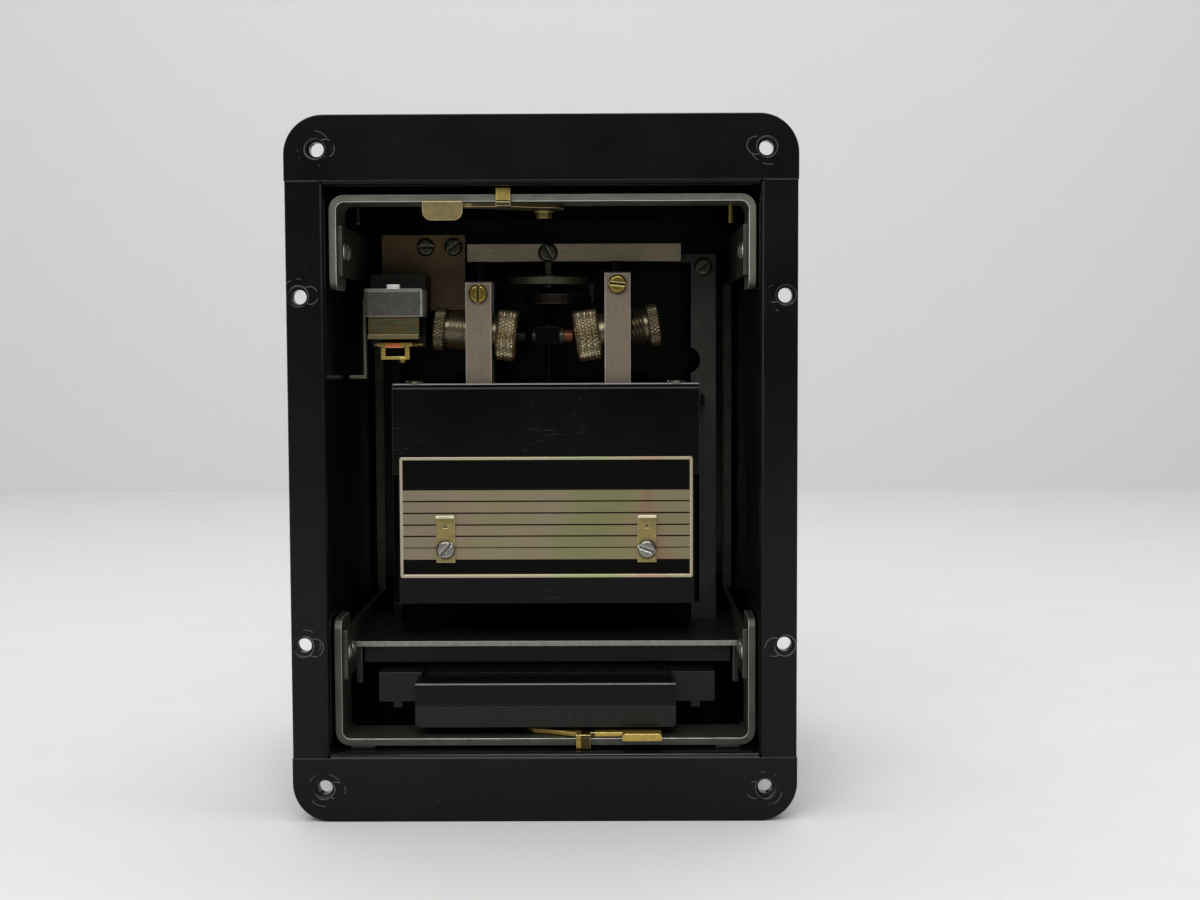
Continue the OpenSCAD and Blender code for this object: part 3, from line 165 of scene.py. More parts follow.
# A wave texture of scale 1 has a band every pi / 10 units
WAVE_MM = math.pi / 10

# Cosines of the turn at which an edge starts to be painted bright, as wear and as a painted highlight,
# and is fully bright, and how near a wall painted shade darkens the colour
EDGE_START_COS = 0.995
EDGE_BRIGHT_COS = 0.88
SHADE_REACH_MM = 1.2
SHADE_SPAN = 0.55


# Finishes

def linear(code):
    """Linear colour with full alpha from an sRGB hex value."""
    parts = [int(code[i:i + 2], 16) / 255 for i in (1, 3, 5)]
    return [c / 12.92 if c <= 0.04045 else ((c + 0.055) / 1.055) ** 2.4 for c in parts] + [1.0]


def add(mat, kind, links=None, stops=None, **settings):
    """Adds a node. links maps an input to a value, a hex colour or another node's output, and stops are a
    ramp's (place, hex)."""
    made = mat.node_tree.nodes.new("ShaderNode" + kind)
    for name, value in settings.items():
        setattr(made, name, value)
    if stops:
        points = made.color_ramp.elements
        points.remove(points[1])
        points[0].position, points[0].color = stops[0][0], linear(stops[0][1])
        for place, code in stops[1:]:
            points.new(place).color = linear(code)
    for socket, value in (links or {}).items():
        if isinstance(value, bpy.types.NodeSocket):
            mat.node_tree.links.new(value, made.inputs[socket])
        elif isinstance(value, str):
            made.inputs[socket].default_value = linear(value)
        else:
            made.inputs[socket].default_value = value
    return made


def in_mm(mat, stretch=(1, 1, 1)):
    """Object coordinates in millimetres, each axis divided by its stretch."""
    place = add(mat, "TexCoord").outputs["Object"]
    scale = [1 / (MM * s) for s in stretch]
    return add(mat, "Mapping", {"Vector": place, "Scale": scale}).outputs[0]


def new_finish(name):
    """An empty material and its Object coordinates in millimetres."""
    mat = bpy.data.materials.new(name)
    mat.use_nodes = True
    mat.node_tree.nodes.clear()
    return mat, in_mm(mat)


def close_finish(mat, color, metallic, roughness, height=None, relief=0.02, edge=0.35, specular=0.5,
                 edge_wear_and_highlight=None, open_at=0.8):
    """Ends a material: its shader with a colour and a roughness, a bump of the given relief and edges
    rounded by a radius, both in millimetres. edge_wear_and_highlight is the hex colour to which those
    edges are painted bright, as wear and as a painted highlight, and then painted shade darkens the
    slots and corners near a wall, up to where the share open_at of the view is free."""
    worn = add(mat, "Bevel", {"Radius": edge * MM}, samples=8)
    # Painted highlight and wear: edges turn to the bright colour where the rounded normal leaves the flat one
    if edge_wear_and_highlight:
        flat = add(mat, "NewGeometry").outputs["Normal"]
        turn = add(mat, "VectorMath", {0: worn.outputs[0], 1: flat}, operation="DOT_PRODUCT")
        bright_edge = add(mat, "MapRange", {0: turn.outputs["Value"], 1: EDGE_START_COS, 2: EDGE_BRIGHT_COS,
                                     3: 0.0, 4: 1.0})
        bright = add(mat, "Mix", {0: bright_edge.outputs[0], 6: color, 7: edge_wear_and_highlight}, data_type="RGBA").outputs[2]
        # Painted shade: ambient occlusion darkens the colour in slots, grooves and corners near a wall
        room = add(mat, "AmbientOcclusion", {"Distance": SHADE_REACH_MM * MM}, samples=6)
        painted_shade = add(mat, "MapRange", {0: room.outputs["AO"], 1: open_at - SHADE_SPAN, 2: open_at,
                                     3: 0.2, 4: 1.0})
        color = add(mat, "Mix", {0: 1.0, 6: bright, 7: painted_shade.outputs[0]}, data_type="RGBA",
                    blend_type="MULTIPLY").outputs[2]
    links = {"Base Color": color, "Metallic": metallic, "Roughness": roughness,
             "Specular IOR Level": specular, "Normal": worn.outputs[0]}
    if height is not None:
        bump = add(mat, "Bump", {"Height": height, "Strength": 1.0, "Distance": relief * MM,
                                 "Normal": worn.outputs[0]})
        links["Normal"] = bump.outputs[0]
    shader = add(mat, "BsdfPrincipled", links)
    add(mat, "OutputMaterial", {"Surface": shader.outputs[0]})
    return mat


def specks(mat, coords, spacing, share, radius):
    """1 on sparse round specks of dust or wear, 0 elsewhere. spacing and radius in millimetres."""
    cells = add(mat, "TexVoronoi", {"Vector": coords, "Scale": 1 / spacing})
    close = add(mat, "Math", {0: cells.outputs["Distance"], 1: radius / spacing}, operation=UNDER)
    pick = add(mat, "SeparateColor", {0: cells.outputs["Color"]})
    few = add(mat, "Math", {0: pick.outputs[0], 1: share}, operation=UNDER)
    return add(mat, "Math", {0: close.outputs[0], 1: few.outputs[0]}, operation="MULTIPLY").outputs[0]


def scuffs(mat, coords):
    """1 on fine level scratches that lie together in a few patches, 0 elsewhere."""
    level = add(mat, "Mapping", {"Vector": coords, "Scale": (0.22, 0.22, 1.9)})
    lines = add(mat, "TexNoise", {"Vector": level.outputs[0], "Scale": 1.0, "Detail": 4, "Distortion": 0.4})
    patches = add(mat, "TexNoise", {"Vector": coords, "Scale": 1 / 16, "Detail": 2})
    both = add(mat, "Math", {0: lines.outputs[0], 1: patches.outputs[0]}, operation="MULTIPLY")
    return add(mat, "Math", {0: both.outputs[0], 1: 0.425}, operation=OVER).outputs[0]


def ring_wear(mat, coords, holes):
    """1 on the broken rings that screw heads and washers left round the holes, and beside them where a
    washer slipped inwards, 0 elsewhere. holes are (x, z) of one quarter in millimetres: absolute values
    of X and Z bring the other three onto it."""
    bend = add(mat, "TexNoise", {"Vector": coords, "Scale": 1 / 14, "Detail": 1})
    shift = add(mat, "VectorMath", {0: bend.outputs["Color"], 1: (0.5, 0.5, 0.5)}, operation="SUBTRACT")
    push = add(mat, "VectorMath", {0: shift.outputs[0], 3: 2.0}, operation="SCALE")
    bent = add(mat, "VectorMath", {0: coords, 1: push.outputs[0]}, operation="ADD")
    folded = add(mat, "VectorMath", {0: bent.outputs[0]}, operation="ABSOLUTE")
    flat = add(mat, "VectorMath", {0: folded.outputs[0], 1: (1, 0, 1)}, operation="MULTIPLY")

    def away_from(slip):
        """Distance to the nearest hole's centre, or to the point that lies slip inwards of it."""
        first, second = [
            add(mat, "VectorMath", {0: flat.outputs[0], 1: (x - slip, 0, z + 0.1 * slip)},
                operation="DISTANCE")
            for x, z in holes]
        return add(mat, "Math", {0: first.outputs["Value"], 1: second.outputs["Value"]},
                   operation="MINIMUM").outputs[0]

    centred, slipped = away_from(0.0), away_from(WASHER_SLIP_MM)
    clear = add(mat, "Math", {0: centred, 1: SCREW_HEAD_R_MM}, operation=OVER).outputs[0]
    gaps = add(mat, "TexNoise", {"Vector": coords, "Scale": 1 / 5, "Detail": 3})
    marks = []
    # Each ring has a radius and half its width, and shows where the gaps' noise is at least a value
    for away, radius, half_width, least, where in (
            (centred, 3.3, 0.22, 0.36, 1.0),
            (centred, 5.6, 0.13, 0.6, 1.0),
            (slipped, 2.9, 0.16, 0.47, clear)):
        ring = add(mat, "Math", {0: away, 1: radius, 2: half_width}, operation="COMPARE")
        kept = add(mat, "Math", {0: gaps.outputs[0], 1: least}, operation=OVER)
        both = add(mat, "Math", {0: ring.outputs[0], 1: kept.outputs[0]}, operation="MULTIPLY")
        marks.append(add(mat, "Math", {0: both.outputs[0], 1: where}, operation="MULTIPLY").outputs[0])
    rings = add(mat, "Math", {0: marks[0], 1: marks[1]}, operation="MAXIMUM")
    return add(mat, "Math", {0: rings.outputs[0], 1: marks[2]}, operation="MAXIMUM").outputs[0]


def enamel(name, dark, pale, rough_low, rough_high, dust, specular, mark, holes=None, highlight_above=None):
    """Baked black enamel on sheet steel: a deep gloss with orange peel, smudges, dust, and worn rings at
    its holes or scuffs where it has none. Above the height highlight_above, in millimetres, the top edge
    is painted pale as its highlight."""
    mat, coords = new_finish(name)
    smudge = add(mat, "TexNoise", {"Vector": coords, "Scale": 1 / 30, "Detail": 5, "Roughness": 0.6})
    tone = add(mat, "ValToRGB", {0: smudge.outputs[0]}, stops=[(0.35, dark), (0.75, pale)])
    worn = specks(mat, coords, 6.0, dust, 0.16)
    if holes:
        worn = add(mat, "Math", {0: worn, 1: ring_wear(mat, coords, holes)}, operation="MAXIMUM").outputs[0]
    else:
        worn = add(mat, "Math", {0: worn, 1: scuffs(mat, coords)}, operation="MAXIMUM").outputs[0]
    color = add(mat, "Mix", {0: worn, 6: tone.outputs[0], 7: mark}, data_type="RGBA")
    # Painted highlight: a pale band along the top edge
    if highlight_above:
        height = add(mat, "SeparateXYZ", {0: coords})
        top = add(mat, "Math", {0: height.outputs[2], 1: highlight_above}, operation=OVER)
        color = add(mat, "Mix", {0: top.outputs[0], 6: color.outputs[2], 7: "#a3a3a8"}, data_type="RGBA")
    rough = add(mat, "MapRange", {0: smudge.outputs[0], 1: 0.3, 2: 0.7, 3: rough_low, 4: rough_high})
    peel = add(mat, "TexNoise", {"Vector": coords, "Scale": 1 / 2.2, "Detail": 2})
    return close_finish(mat, color.outputs[2], 0.0, rough.outputs[0], peel.outputs[0], 0.006, 0.5, specular,
                        "#3a3a39")


def plated(name, dark, pale, rough, stretch, metallic, grain, edge_wear_and_highlight, edge=0.4, open_at=0.8):
    """Plated or sawn metal: fine lines along its stretch, as wide as the grain in millimetres, cloudy
    patches, small dark marks, edges painted bright as wear and as a painted highlight, and painted shade
    near walls. Strip, sheet and bar have fine lines and a satin gloss, and knurled nickel has a coarse
    grain without lines and a clear gloss."""
    mat, coords = new_finish(name)
    cloud = add(mat, "TexNoise", {"Vector": coords, "Scale": 1 / 9, "Detail": 6, "Roughness": 0.65})
    along = in_mm(mat, [s * grain for s in stretch])
    lines = add(mat, "TexNoise", {"Vector": along, "Scale": 1.0, "Detail": 3})
    blend = add(mat, "Mix", {0: 0.45, 2: cloud.outputs[0], 3: lines.outputs[0]}, data_type="FLOAT")
    tone = add(mat, "ValToRGB", {0: blend.outputs[0]}, stops=[(0.34, dark), (0.62, pale)])
    marks = specks(mat, coords, 7.0, 0.3, 0.35)
    color = add(mat, "Mix", {0: marks, 6: tone.outputs[0], 7: dark}, data_type="RGBA")
    spread = add(mat, "MapRange", {0: blend.outputs[0], 1: 0.3, 2: 0.7, 3: rough + 0.1, 4: rough - 0.08})
    return close_finish(mat, color.outputs[2], metallic, spread.outputs[0], lines.outputs[0], 0.012, edge,
                        0.5, edge_wear_and_highlight, open_at)


def moulded(name, dark, pale, rough, specular, edge_wear_and_highlight):
    """Compression-moulded phenolic: near black, smooth, with a faint flow pattern and a waxy gloss."""
    mat, coords = new_finish(name)
    flow = add(mat, "TexNoise", {"Vector": coords, "Scale": 1 / 14, "Detail": 6, "Distortion": 1.2})
    tone = add(mat, "ValToRGB", {0: flow.outputs[0]}, stops=[(0.3, dark), (0.72, pale)])
    grit = add(mat, "TexNoise", {"Vector": coords, "Scale": 1 / 0.5, "Detail": 2})
    spread = add(mat, "MapRange", {0: flow.outputs[0], 1: 0.3, 2: 0.7, 3: rough, 4: rough + 0.12})
    return close_finish(mat, tone.outputs[0], 0.0, spread.outputs[0], grit.outputs[0], 0.004, 0.3, specular,
                        edge_wear_and_highlight)


def sheet_laminate(name, dark, pale):
    """Paper-based phenolic sheet: brown, matt, with the paper's fine cross grain."""
    mat, coords = new_finish(name)
    across = add(mat, "TexWave", {"Vector": coords, "Scale": 0.9, "Distortion": 2.5, "Detail": 3},
                 bands_direction="X")
    cloud = add(mat, "TexNoise", {"Vector": coords, "Scale": 1 / 6, "Detail": 6})
    blend = add(mat, "Mix", {0: 0.75, 2: across.outputs["Fac"], 3: cloud.outputs[0]}, data_type="FLOAT")
    tone = add(mat, "ValToRGB", {0: blend.outputs[0]}, stops=[(0.3, dark), (0.7, pale)])
    return close_finish(mat, tone.outputs[0], 0.0, 0.5, across.outputs["Fac"], 0.01)


def steel_stack(name):
    """Varnished stack of half-millimetre laminations: a line at every sheet."""
    mat, coords = new_finish(name)
    sheets = add(mat, "TexWave", {"Vector": coords, "Scale": WAVE_MM / 0.5, "Distortion": 0.3},
                 bands_direction="Z")
    tone = add(mat, "ValToRGB", {0: sheets.outputs["Fac"]}, stops=[(0.2, "#2b2724"), (0.8, "#5d5852")])
    return close_finish(mat, tone.outputs[0], 0.5, 0.45, sheets.outputs["Fac"], 0.03)


def wound_copper(name):
    """Varnished copper winding: rows of wire one third of a millimetre thick."""
    mat, coords = new_finish(name)
    wires = add(mat, "TexWave", {"Vector": coords, "Scale": WAVE_MM / 0.33, "Distortion": 0.6},
                bands_direction="Z")
    tone = add(mat, "ValToRGB", {0: wires.outputs["Fac"]}, stops=[(0.15, "#4b1d10"), (0.85, "#a8502a")])
    return close_finish(mat, tone.outputs[0], 0.3, 0.35, wires.outputs["Fac"], 0.08)


def chromate(name, lip_z):
    """Yellow chromate on brushed zinc: thin-film colours that drift from gold through green to rose over
    fine level lines, and a paler folded lip under lip_z."""
    mat, coords = new_finish(name)
    film = add(mat, "TexNoise", {"Vector": coords, "Scale": 1 / 9, "Detail": 2, "Distortion": 0.6})
    tone = add(mat, "ValToRGB", {0: film.outputs[0]},
               stops=[(0.36, "#5d4c28"), (0.45, "#5f5630"), (0.52, "#4f5838"), (0.6, "#60543a"),
                      (0.7, "#5b4638")])
    level = add(mat, "Mapping", {"Vector": coords, "Scale": (0.08, 0.08, 3.2)})
    brush = add(mat, "TexNoise", {"Vector": level.outputs[0], "Scale": 1.0, "Detail": 3})
    lines = add(mat, "ValToRGB", {0: brush.outputs[0]}, stops=[(0.35, "#b9b9b9"), (0.62, "#ffffff")])
    toned = add(mat, "Mix", {0: 1.0, 6: tone.outputs[0], 7: lines.outputs[0]}, data_type="RGBA",
                blend_type="MULTIPLY")
    axes = add(mat, "SeparateXYZ", {0: coords})
    low = add(mat, "Math", {0: axes.outputs[2], 1: lip_z}, operation=UNDER)
    color = add(mat, "Mix", {0: low.outputs[0], 6: toned.outputs[2], 7: "#6d6443"}, data_type="RGBA")
    return close_finish(mat, color.outputs[2], 0.6, 0.34, brush.outputs[0], 0.006)


def split_finish(name, tests, last, metallic, rough, edge_wear_and_highlight, specular=0.5, edge=0.35, open_at=0.8):
    """Several colours on one solid. tests are (axis, limit in millimetres, hex, comparison): the first
    that holds gives the colour, and last is the colour where none does."""
    mat, coords = new_finish(name)
    wear = add(mat, "TexNoise", {"Vector": coords, "Scale": 1 / 1.8, "Detail": 5})
    axes = add(mat, "SeparateXYZ", {0: coords})
    color = last
    for axis, limit, code, comparison in reversed(tests):
        there = add(mat, "Math", {0: axes.outputs[axis], 1: limit}, operation=comparison)
        color = add(mat, "Mix", {0: there.outputs[0], 6: color, 7: code}, data_type="RGBA").outputs[2]
    dim = add(mat, "ValToRGB", {0: wear.outputs[0]}, stops=[(0.3, "#dcdcdc"), (0.65, "#ffffff")])
    toned = add(mat, "Mix", {0: 1.0, 6: color, 7: dim.outputs[0]}, data_type="RGBA", blend_type="MULTIPLY")
    return close_finish(mat, toned.outputs[2], metallic, rough, wear.outputs[0], 0.006, edge, specular,
                        edge_wear_and_highlight, open_at)


def etched_plate(name):
    """Photo-etched aluminium: black filled fields and thin rules, with a bright border, fine brushing and
    a faint film of colour that drifts across. The heights are shares of the plate's own height."""
    mat, coords = new_finish(name)
    low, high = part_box("nameplate")
    z0, z1 = low[Z] / MM, high[Z] / MM
    half_w = (high[X] - low[X]) / MM / 2
    border, half_rule = 1.05, 0.2
    foot, head = [z0 + (z1 - z0) * share for share in (0.149, 0.726)]
    rules = [z0 + (z1 - z0) * share for share in (0.247, 0.344, 0.438, 0.535, 0.632)]
    black, metal, frame_tone = "#080807", "#8f8978", "#bdb9aa"
    bands = [(z0, frame_tone), (z0 + border, black), (foot, metal)]
    for z in rules:
        bands += [(z - half_rule, black), (z + half_rule, metal)]
    bands += [(head, black), (z1 - border, frame_tone)]
    axes = add(mat, "SeparateXYZ", {0: coords})
    up = add(mat, "MapRange", {0: axes.outputs[2], 1: z0, 2: z1})
    fields = add(mat, "ValToRGB", {0: up.outputs[0]}, stops=[((z - z0) / (z1 - z0), c) for z, c in bands])
    fields.color_ramp.interpolation = "CONSTANT"
    side = add(mat, "Math", {0: axes.outputs[0]}, operation="ABSOLUTE")
    edge = add(mat, "Math", {0: side.outputs[0], 1: half_w - border}, operation=OVER)
    framed = add(mat, "Mix", {0: edge.outputs[0], 6: fields.outputs[0], 7: frame_tone}, data_type="RGBA")
    drift = add(mat, "TexNoise", {"Vector": coords, "Scale": 1 / 22, "Detail": 2})
    swing = add(mat, "Math", {0: drift.outputs[0], 1: 34.0, 2: axes.outputs[0]}, operation="MULTIPLY_ADD")
    across = add(mat, "MapRange", {0: swing.outputs[0], 1: 17 - half_w, 2: 17 + half_w})
    tint = add(mat, "ValToRGB", {0: across.outputs[0]},
               stops=[(0.05, "#fbf3ea"), (0.22, "#fff3e4"), (0.34, "#fbf6dc"), (0.48, "#fff4e8"),
                      (0.58, "#eef6d0"), (0.7, "#e8f4c8"), (0.77, "#fff2d6"), (0.83, "#ffdcd0"),
                      (0.92, "#f8f2dc")])
    color = add(mat, "Mix", {0: 1.0, 6: framed.outputs[2], 7: tint.outputs[0]}, data_type="RGBA",
                blend_type="MULTIPLY")
    bright = add(mat, "RGBToBW", {0: framed.outputs[2]})
    metallic = add(mat, "MapRange", {0: bright.outputs[0], 1: 0.05, 2: 0.3, 3: 0.0, 4: 0.85})
    along = in_mm(mat, (0.3, 1, 24))
    brush = add(mat, "TexNoise", {"Vector": along, "Scale": 1.0, "Detail": 4})
    rough = add(mat, "MapRange", {0: brush.outputs[0], 1: 0.3, 2: 0.7, 3: 0.28, 4: 0.48})
    return close_finish(mat, color.outputs[2], metallic.outputs[0], rough.outputs[0], brush.outputs[0],
                        0.008, 0.3, 0.06)


def studio_paper(name, dark, pale):
    """White studio paper: matt, with clouds of tone too faint to notice."""
    mat, coords = new_finish(name)
    fibre = add(mat, "TexNoise", {"Vector": coords, "Scale": 1 / 40, "Detail": 3})
    tone = add(mat, "ValToRGB", {0: fibre.outputs[0]}, stops=[(0.2, dark), (0.9, pale)])
    return close_finish(mat, tone.outputs[0], 0.0, 0.9)


# Surfaces

def surface_piece(name, points, closed=False):
    """A mesh from an array of points, with x y z in millimetres: a face between each row and the next,
    and each column and the next. Where it is closed, the last row meets the first, its poles and seam are
    merged and its faces point outwards."""
    rows, cols = points.shape[:2]
    i, j = np.meshgrid(np.arange(rows if closed else rows - 1), np.arange(cols - 1), indexing="ij")
    k = (i + 1) % rows
    faces = np.stack([i * cols + j, k * cols + j, k * cols + j + 1, i * cols + j + 1], axis=-1).reshape(-1, 4)
    mesh = bpy.data.meshes.new(name)
    mesh.from_pydata((points.reshape(-1, 3) * MM).tolist(), [], faces.tolist())
    if closed:
        work = bmesh.new()
        work.from_mesh(mesh)
        bmesh.ops.remove_doubles(work, verts=work.verts, dist=0.002 * MM)
        bmesh.ops.recalc_face_normals(work, faces=work.faces)
        work.to_mesh(mesh)
        work.free()
    mesh.update()
    made = bpy.data.objects.new(name, mesh)
    bpy.context.scene.collection.objects.link(made)
    return made


def zigzag(t):
    """0 at whole numbers, 1 half way between them, straight in between."""
    return 1 - np.abs(2 * (t - np.floor(t)) - 1)


def diamond_knurl(angle, along, radius, pitch, depth):
    """Pyramids left by V grooves of opposite hand: the lesser of two zigzags that climb round the rim, so
    that a pyramid is longer than it is wide. The value is 0 on a tip and minus the depth in a groove."""
    teeth = round(2 * math.pi * radius / pitch)
    turn = teeth * angle / (2 * math.pi)
    climb = along / (KNURL_STRETCH * pitch)
    return depth * (np.minimum(zigzag(turn + climb), zigzag(turn - climb)) - 1)


def fine_along(corners, step, cut_r, cut_from):
    """The corners (along, radius) of a profile, with points between them no further apart than step where
    the metal is cut, outside cut_r and beyond cut_from, and few points elsewhere."""
    out = []
    for (x0, r0), (x1, r1) in zip(corners, corners[1:]):
        reach = step if min(r0, r1) > cut_r and min(x0, x1) >= cut_from else PLAIN_STEP_MM
        n = max(1, math.ceil(math.hypot(x1 - x0, r1 - r0) / reach))
        t = np.linspace(0, 1, n, endpoint=False)[:, None]
        out.append(np.array([x0, r0]) + t * np.array([x1 - x0, r1 - r0]))
    return np.vstack(out + [np.array([corners[-1]])])


def turned(corners, around, step, cut_r, cut_from, relief):
    """A profile turned round the X axis: radius = profile radius + relief(angle, along, radius)."""
    profile = fine_along(corners, step, cut_r, cut_from)
    angle = np.linspace(0, 2 * math.pi, around, endpoint=False)[:, None]
    along, radius = profile[None, :, 0], profile[None, :, 1]
    full = radius + relief(angle, along, radius)
    return np.stack([np.broadcast_to(along, full.shape), full * np.cos(angle), full * np.sin(angle)], axis=-1)


def on_barrel(points, side):
    """Turns points from the X axis onto a barrel's sloping axis, which rises outwards from the cap's
    centre."""
    slope = math.radians(BARREL_SLOPE[side])
    tip = math.pi + slope if side == "left" else -slope
    x, y, z = points[..., X], points[..., Y], points[..., Z]
    turned_x = x * math.cos(tip) + z * math.sin(tip)
    turned_z = z * math.cos(tip) - x * math.sin(tip)
    return np.stack([turned_x, y, turned_z], axis=-1) + np.array(CAP_CENTRE_MM[side])


def knurled_cap(side):
    """Cap with a diamond knurl between two bevelled rims, bored for the tube and for the contact button:
    radius = profile radius + knurl on the rim."""
    half, rim = CAP_HALF_MM[side], CAP_R_MM
    bevelled = rim - CAP_BEVEL_MM
    floor = CAP_FLOOR_MM - half
    corners = [(-half, BUTTON_HOLE_R_MM), (-half, bevelled), (CAP_BEVEL_MM - half, rim),
               (half - CAP_BEVEL_MM, rim), (half, bevelled), (half, CAP_BORE_R_MM), (floor, CAP_BORE_R_MM),
               (floor, BUTTON_HOLE_R_MM), (-half, BUTTON_HOLE_R_MM)]

    def relief(angle, along, radius):
        on_rim = (radius > rim - HAIR_MM) & (np.abs(along) < half - CAP_BEVEL_MM - 0.05)
        return diamond_knurl(angle, along, rim, KNURL_PITCH_MM[side], KNURL_DEPTH_MM) * on_rim

    points = turned(corners, CAP_STEPS, CAP_STEP_MM, rim - 0.1, -half, relief)
    return surface_piece(side + "_knurled_cap", on_barrel(points, side), closed=True)


def threaded_barrel(side):
    """Tube with a fine thread up to its groove and a knurled flange at its closed outer end: radius =
    profile radius + thread + knurl."""
    start, end = TUBE_START_MM - CAP_HALF_MM[side], TUBE_END_MM
    plug, lip = end - TUBE_PLUG_MM, end - FLANGE_W_MM
    groove, thread_from = lip - GROOVE_W_MM, lip - THREAD_LENGTH_MM
    neck = TUBE_R_MM - GROOVE_DEPTH_MM
    corners = [(plug, 0), (plug, TUBE_BORE_R_MM), (start, TUBE_BORE_R_MM), (start, TUBE_R_MM),
               (thread_from, TUBE_R_MM), (groove, TUBE_R_MM), (groove, neck), (lip, neck),
               (lip, FLANGE_R_MM - INNER_BEVEL_MM), (lip + INNER_BEVEL_MM, FLANGE_R_MM),
               (end - OUTER_BEVEL_MM, FLANGE_R_MM), (end, FLANGE_R_MM - OUTER_BEVEL_MM), (end, 0)]

    def relief(angle, along, radius):
        on_flange = (radius > FLANGE_R_MM - HAIR_MM) & (along > lip + 0.35) & (along < end - 0.45)
        on_thread = (np.abs(radius - TUBE_R_MM) < HAIR_MM) & (along > thread_from) & (along < groove - 0.1)
        knurl = diamond_knurl(angle, along, FLANGE_R_MM, FLANGE_KNURL_PITCH_MM, FLANGE_KNURL_DEPTH_MM)
        thread = THREAD_DEPTH_MM[side] * (zigzag(along / THREAD_PITCH_MM - angle / (2 * math.pi)) - 1)
        return knurl * on_flange + thread * on_thread

    points = turned(corners, TUBE_STEPS, TUBE_STEP_MM, TUBE_R_MM - 0.1, thread_from, relief)
    return surface_piece(side + "_threaded_barrel", on_barrel(points, side), closed=True)


def dress(made, mat, body):
    """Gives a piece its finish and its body."""
    made.data.materials.append(mat)
    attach(made, body)
    return made


# Camera, table and lights

def set_camera():
    """Lens, place and turn as solved from the flange's corners and holes."""
    lens = bpy.data.cameras.new("camera")
    lens.sensor_width = SENSOR_MM
    lens.lens = FOCAL_PX * SENSOR_MM / IMAGE_W
    lens.clip_start = 0.01
    lens.clip_end = 30.0
    forward = Vector((math.sin(CAMERA_YAW) * math.cos(CAMERA_PITCH),
                      math.cos(CAMERA_YAW) * math.cos(CAMERA_PITCH), -math.sin(CAMERA_PITCH)))
    right = forward.cross(Vector((0, 0, 1))).normalized()
    up = right.cross(forward)
    c, s = math.cos(CAMERA_ROLL), math.sin(CAMERA_ROLL)
    turned_right, turned_up = c * right + s * up, c * up - s * right
    turn = Matrix((turned_right, turned_up, -forward)).transposed().to_4x4()
    eye = bpy.data.objects.new("camera", lens)
    eye.matrix_world = Matrix.Translation(Vector(CAMERA_MM) * MM) @ turn
    bpy.context.scene.collection.objects.link(eye)
    bpy.context.scene.camera = eye


def set_stage():
    """A white table that ends at a white wall, both flat sheets."""
    table = studio_paper("studio paper table", "#d0cfcf", "#d4d3d3")
    wall = studio_paper("studio paper wall", "#d8d8db", "#d9d9da")
    t, w, d, f = TABLE_Z_MM, TABLE_HALF_MM, WALL_Y_MM, TABLE_FRONT_MM
    sheets = [
        ("table", table, [[(-w, d, t), (w, d, t)], [(-w, f, t), (w, f, t)]]),
        ("wall", wall, [[(-w, d, t + WALL_H_MM), (w, d, t + WALL_H_MM)], [(-w, d, t), (w, d, t)]]),
    ]
    for name, mat, corners in sheets:
        made = surface_piece(name, np.array(corners, dtype=float))
        made.data.materials.append(mat)


def add_lamp(name, place, target, size, power):
    """A soft square lamp, in millimetres, aimed at a point."""
    data = bpy.data.lights.new(name, "AREA")
    data.shape = "RECTANGLE"
    data.size, data.size_y = size[0] * MM, size[1] * MM
    data.energy = power
    lamp = bpy.data.objects.new(name, data)
    aim = Vector(target) - Vector(place)
    turn = aim.to_track_quat("-Z", "Y").to_matrix().to_4x4()
    lamp.matrix_world = Matrix.Translation(Vector(place) * MM) @ turn
    bpy.context.scene.collection.objects.link(lamp)


def set_lights():
    """One broad lamp over the front, a weaker one each side, a small one overhead for the edges, one over
    the table and an even white world."""
    for lamp in LAMPS:
        add_lamp(*lamp)
    world = bpy.data.worlds.new("studio")
    world.use_nodes = True
    background = world.node_tree.nodes["Background"]
    background.inputs["Color"].default_value = linear(WORLD_WHITE)
    background.inputs["Strength"].default_value = WORLD_STRENGTH
    bpy.context.scene.world = world


def paint_nodes(finishes):
    """Assigns each finish to the CAD solids named with it."""
    for mat, names in finishes:
        for name in names.split():
            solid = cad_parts[name]
            if not solid.material_slots:
                solid.data.materials.append(mat)
            for slot in solid.material_slots:
                slot.material = mat


set_camera()
set_stage()
set_lights()

# Enamel gives the case its deep black with worn rings, and the plates inside a plainer black with fine
# scuffs
BRACKET_TOP_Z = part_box("nameplate_bracket")[1][Z] / MM
case_black = enamel("baked black enamel", "#090a0a", "#0f100f", 0.15, 0.24, 0.25, 0.15, "#4a4b48",
                    holes=PANEL_HOLES_MM)
plate_black = enamel("black plate paint", "#060606", "#0b0b0a", 0.13, 0.2, 0.3, 0.12, "#222221")
# The bracket's top edge is painted pale as its highlight
bracket_black = enamel("glossy black bracket paint", "#050505", "#0a0a09", 0.13, 0.2, 0.3, 0.12, "#222221",
                       highlight_above=BRACKET_TOP_Z - TOP_HIGHLIGHT_MM)

# Zinc plate gives the drawout cradle its dull greenish grey: pale on the top strip, painted darker as shade
# on the bottom strip and the sheets in shadow. Each stretch runs along the metal's own rolling or sawing
strip_steel = plated("zinc-plated steel strip", "#595a53", "#7b7c72", 0.42, (20, 1, 1), 0.8, 0.5, "#fbfbf8")
side_steel = plated("zinc-plated steel sheet with painted shade", "#31322c", "#4b4c44", 0.45, (1, 20, 1), 0.8, 0.5, "#585951")
shaded_strip_steel = plated("zinc-plated steel strip with painted shade", "#3f403a", "#5a5b53", 0.45, (20, 1, 1), 0.8, 0.5,
                         "#c6c6c0")
olive_steel = plated("olive-plated steel bar", "#25241f", "#33322c", 0.5, (1, 1, 14), 0.3, 0.6, "#4b4a42")

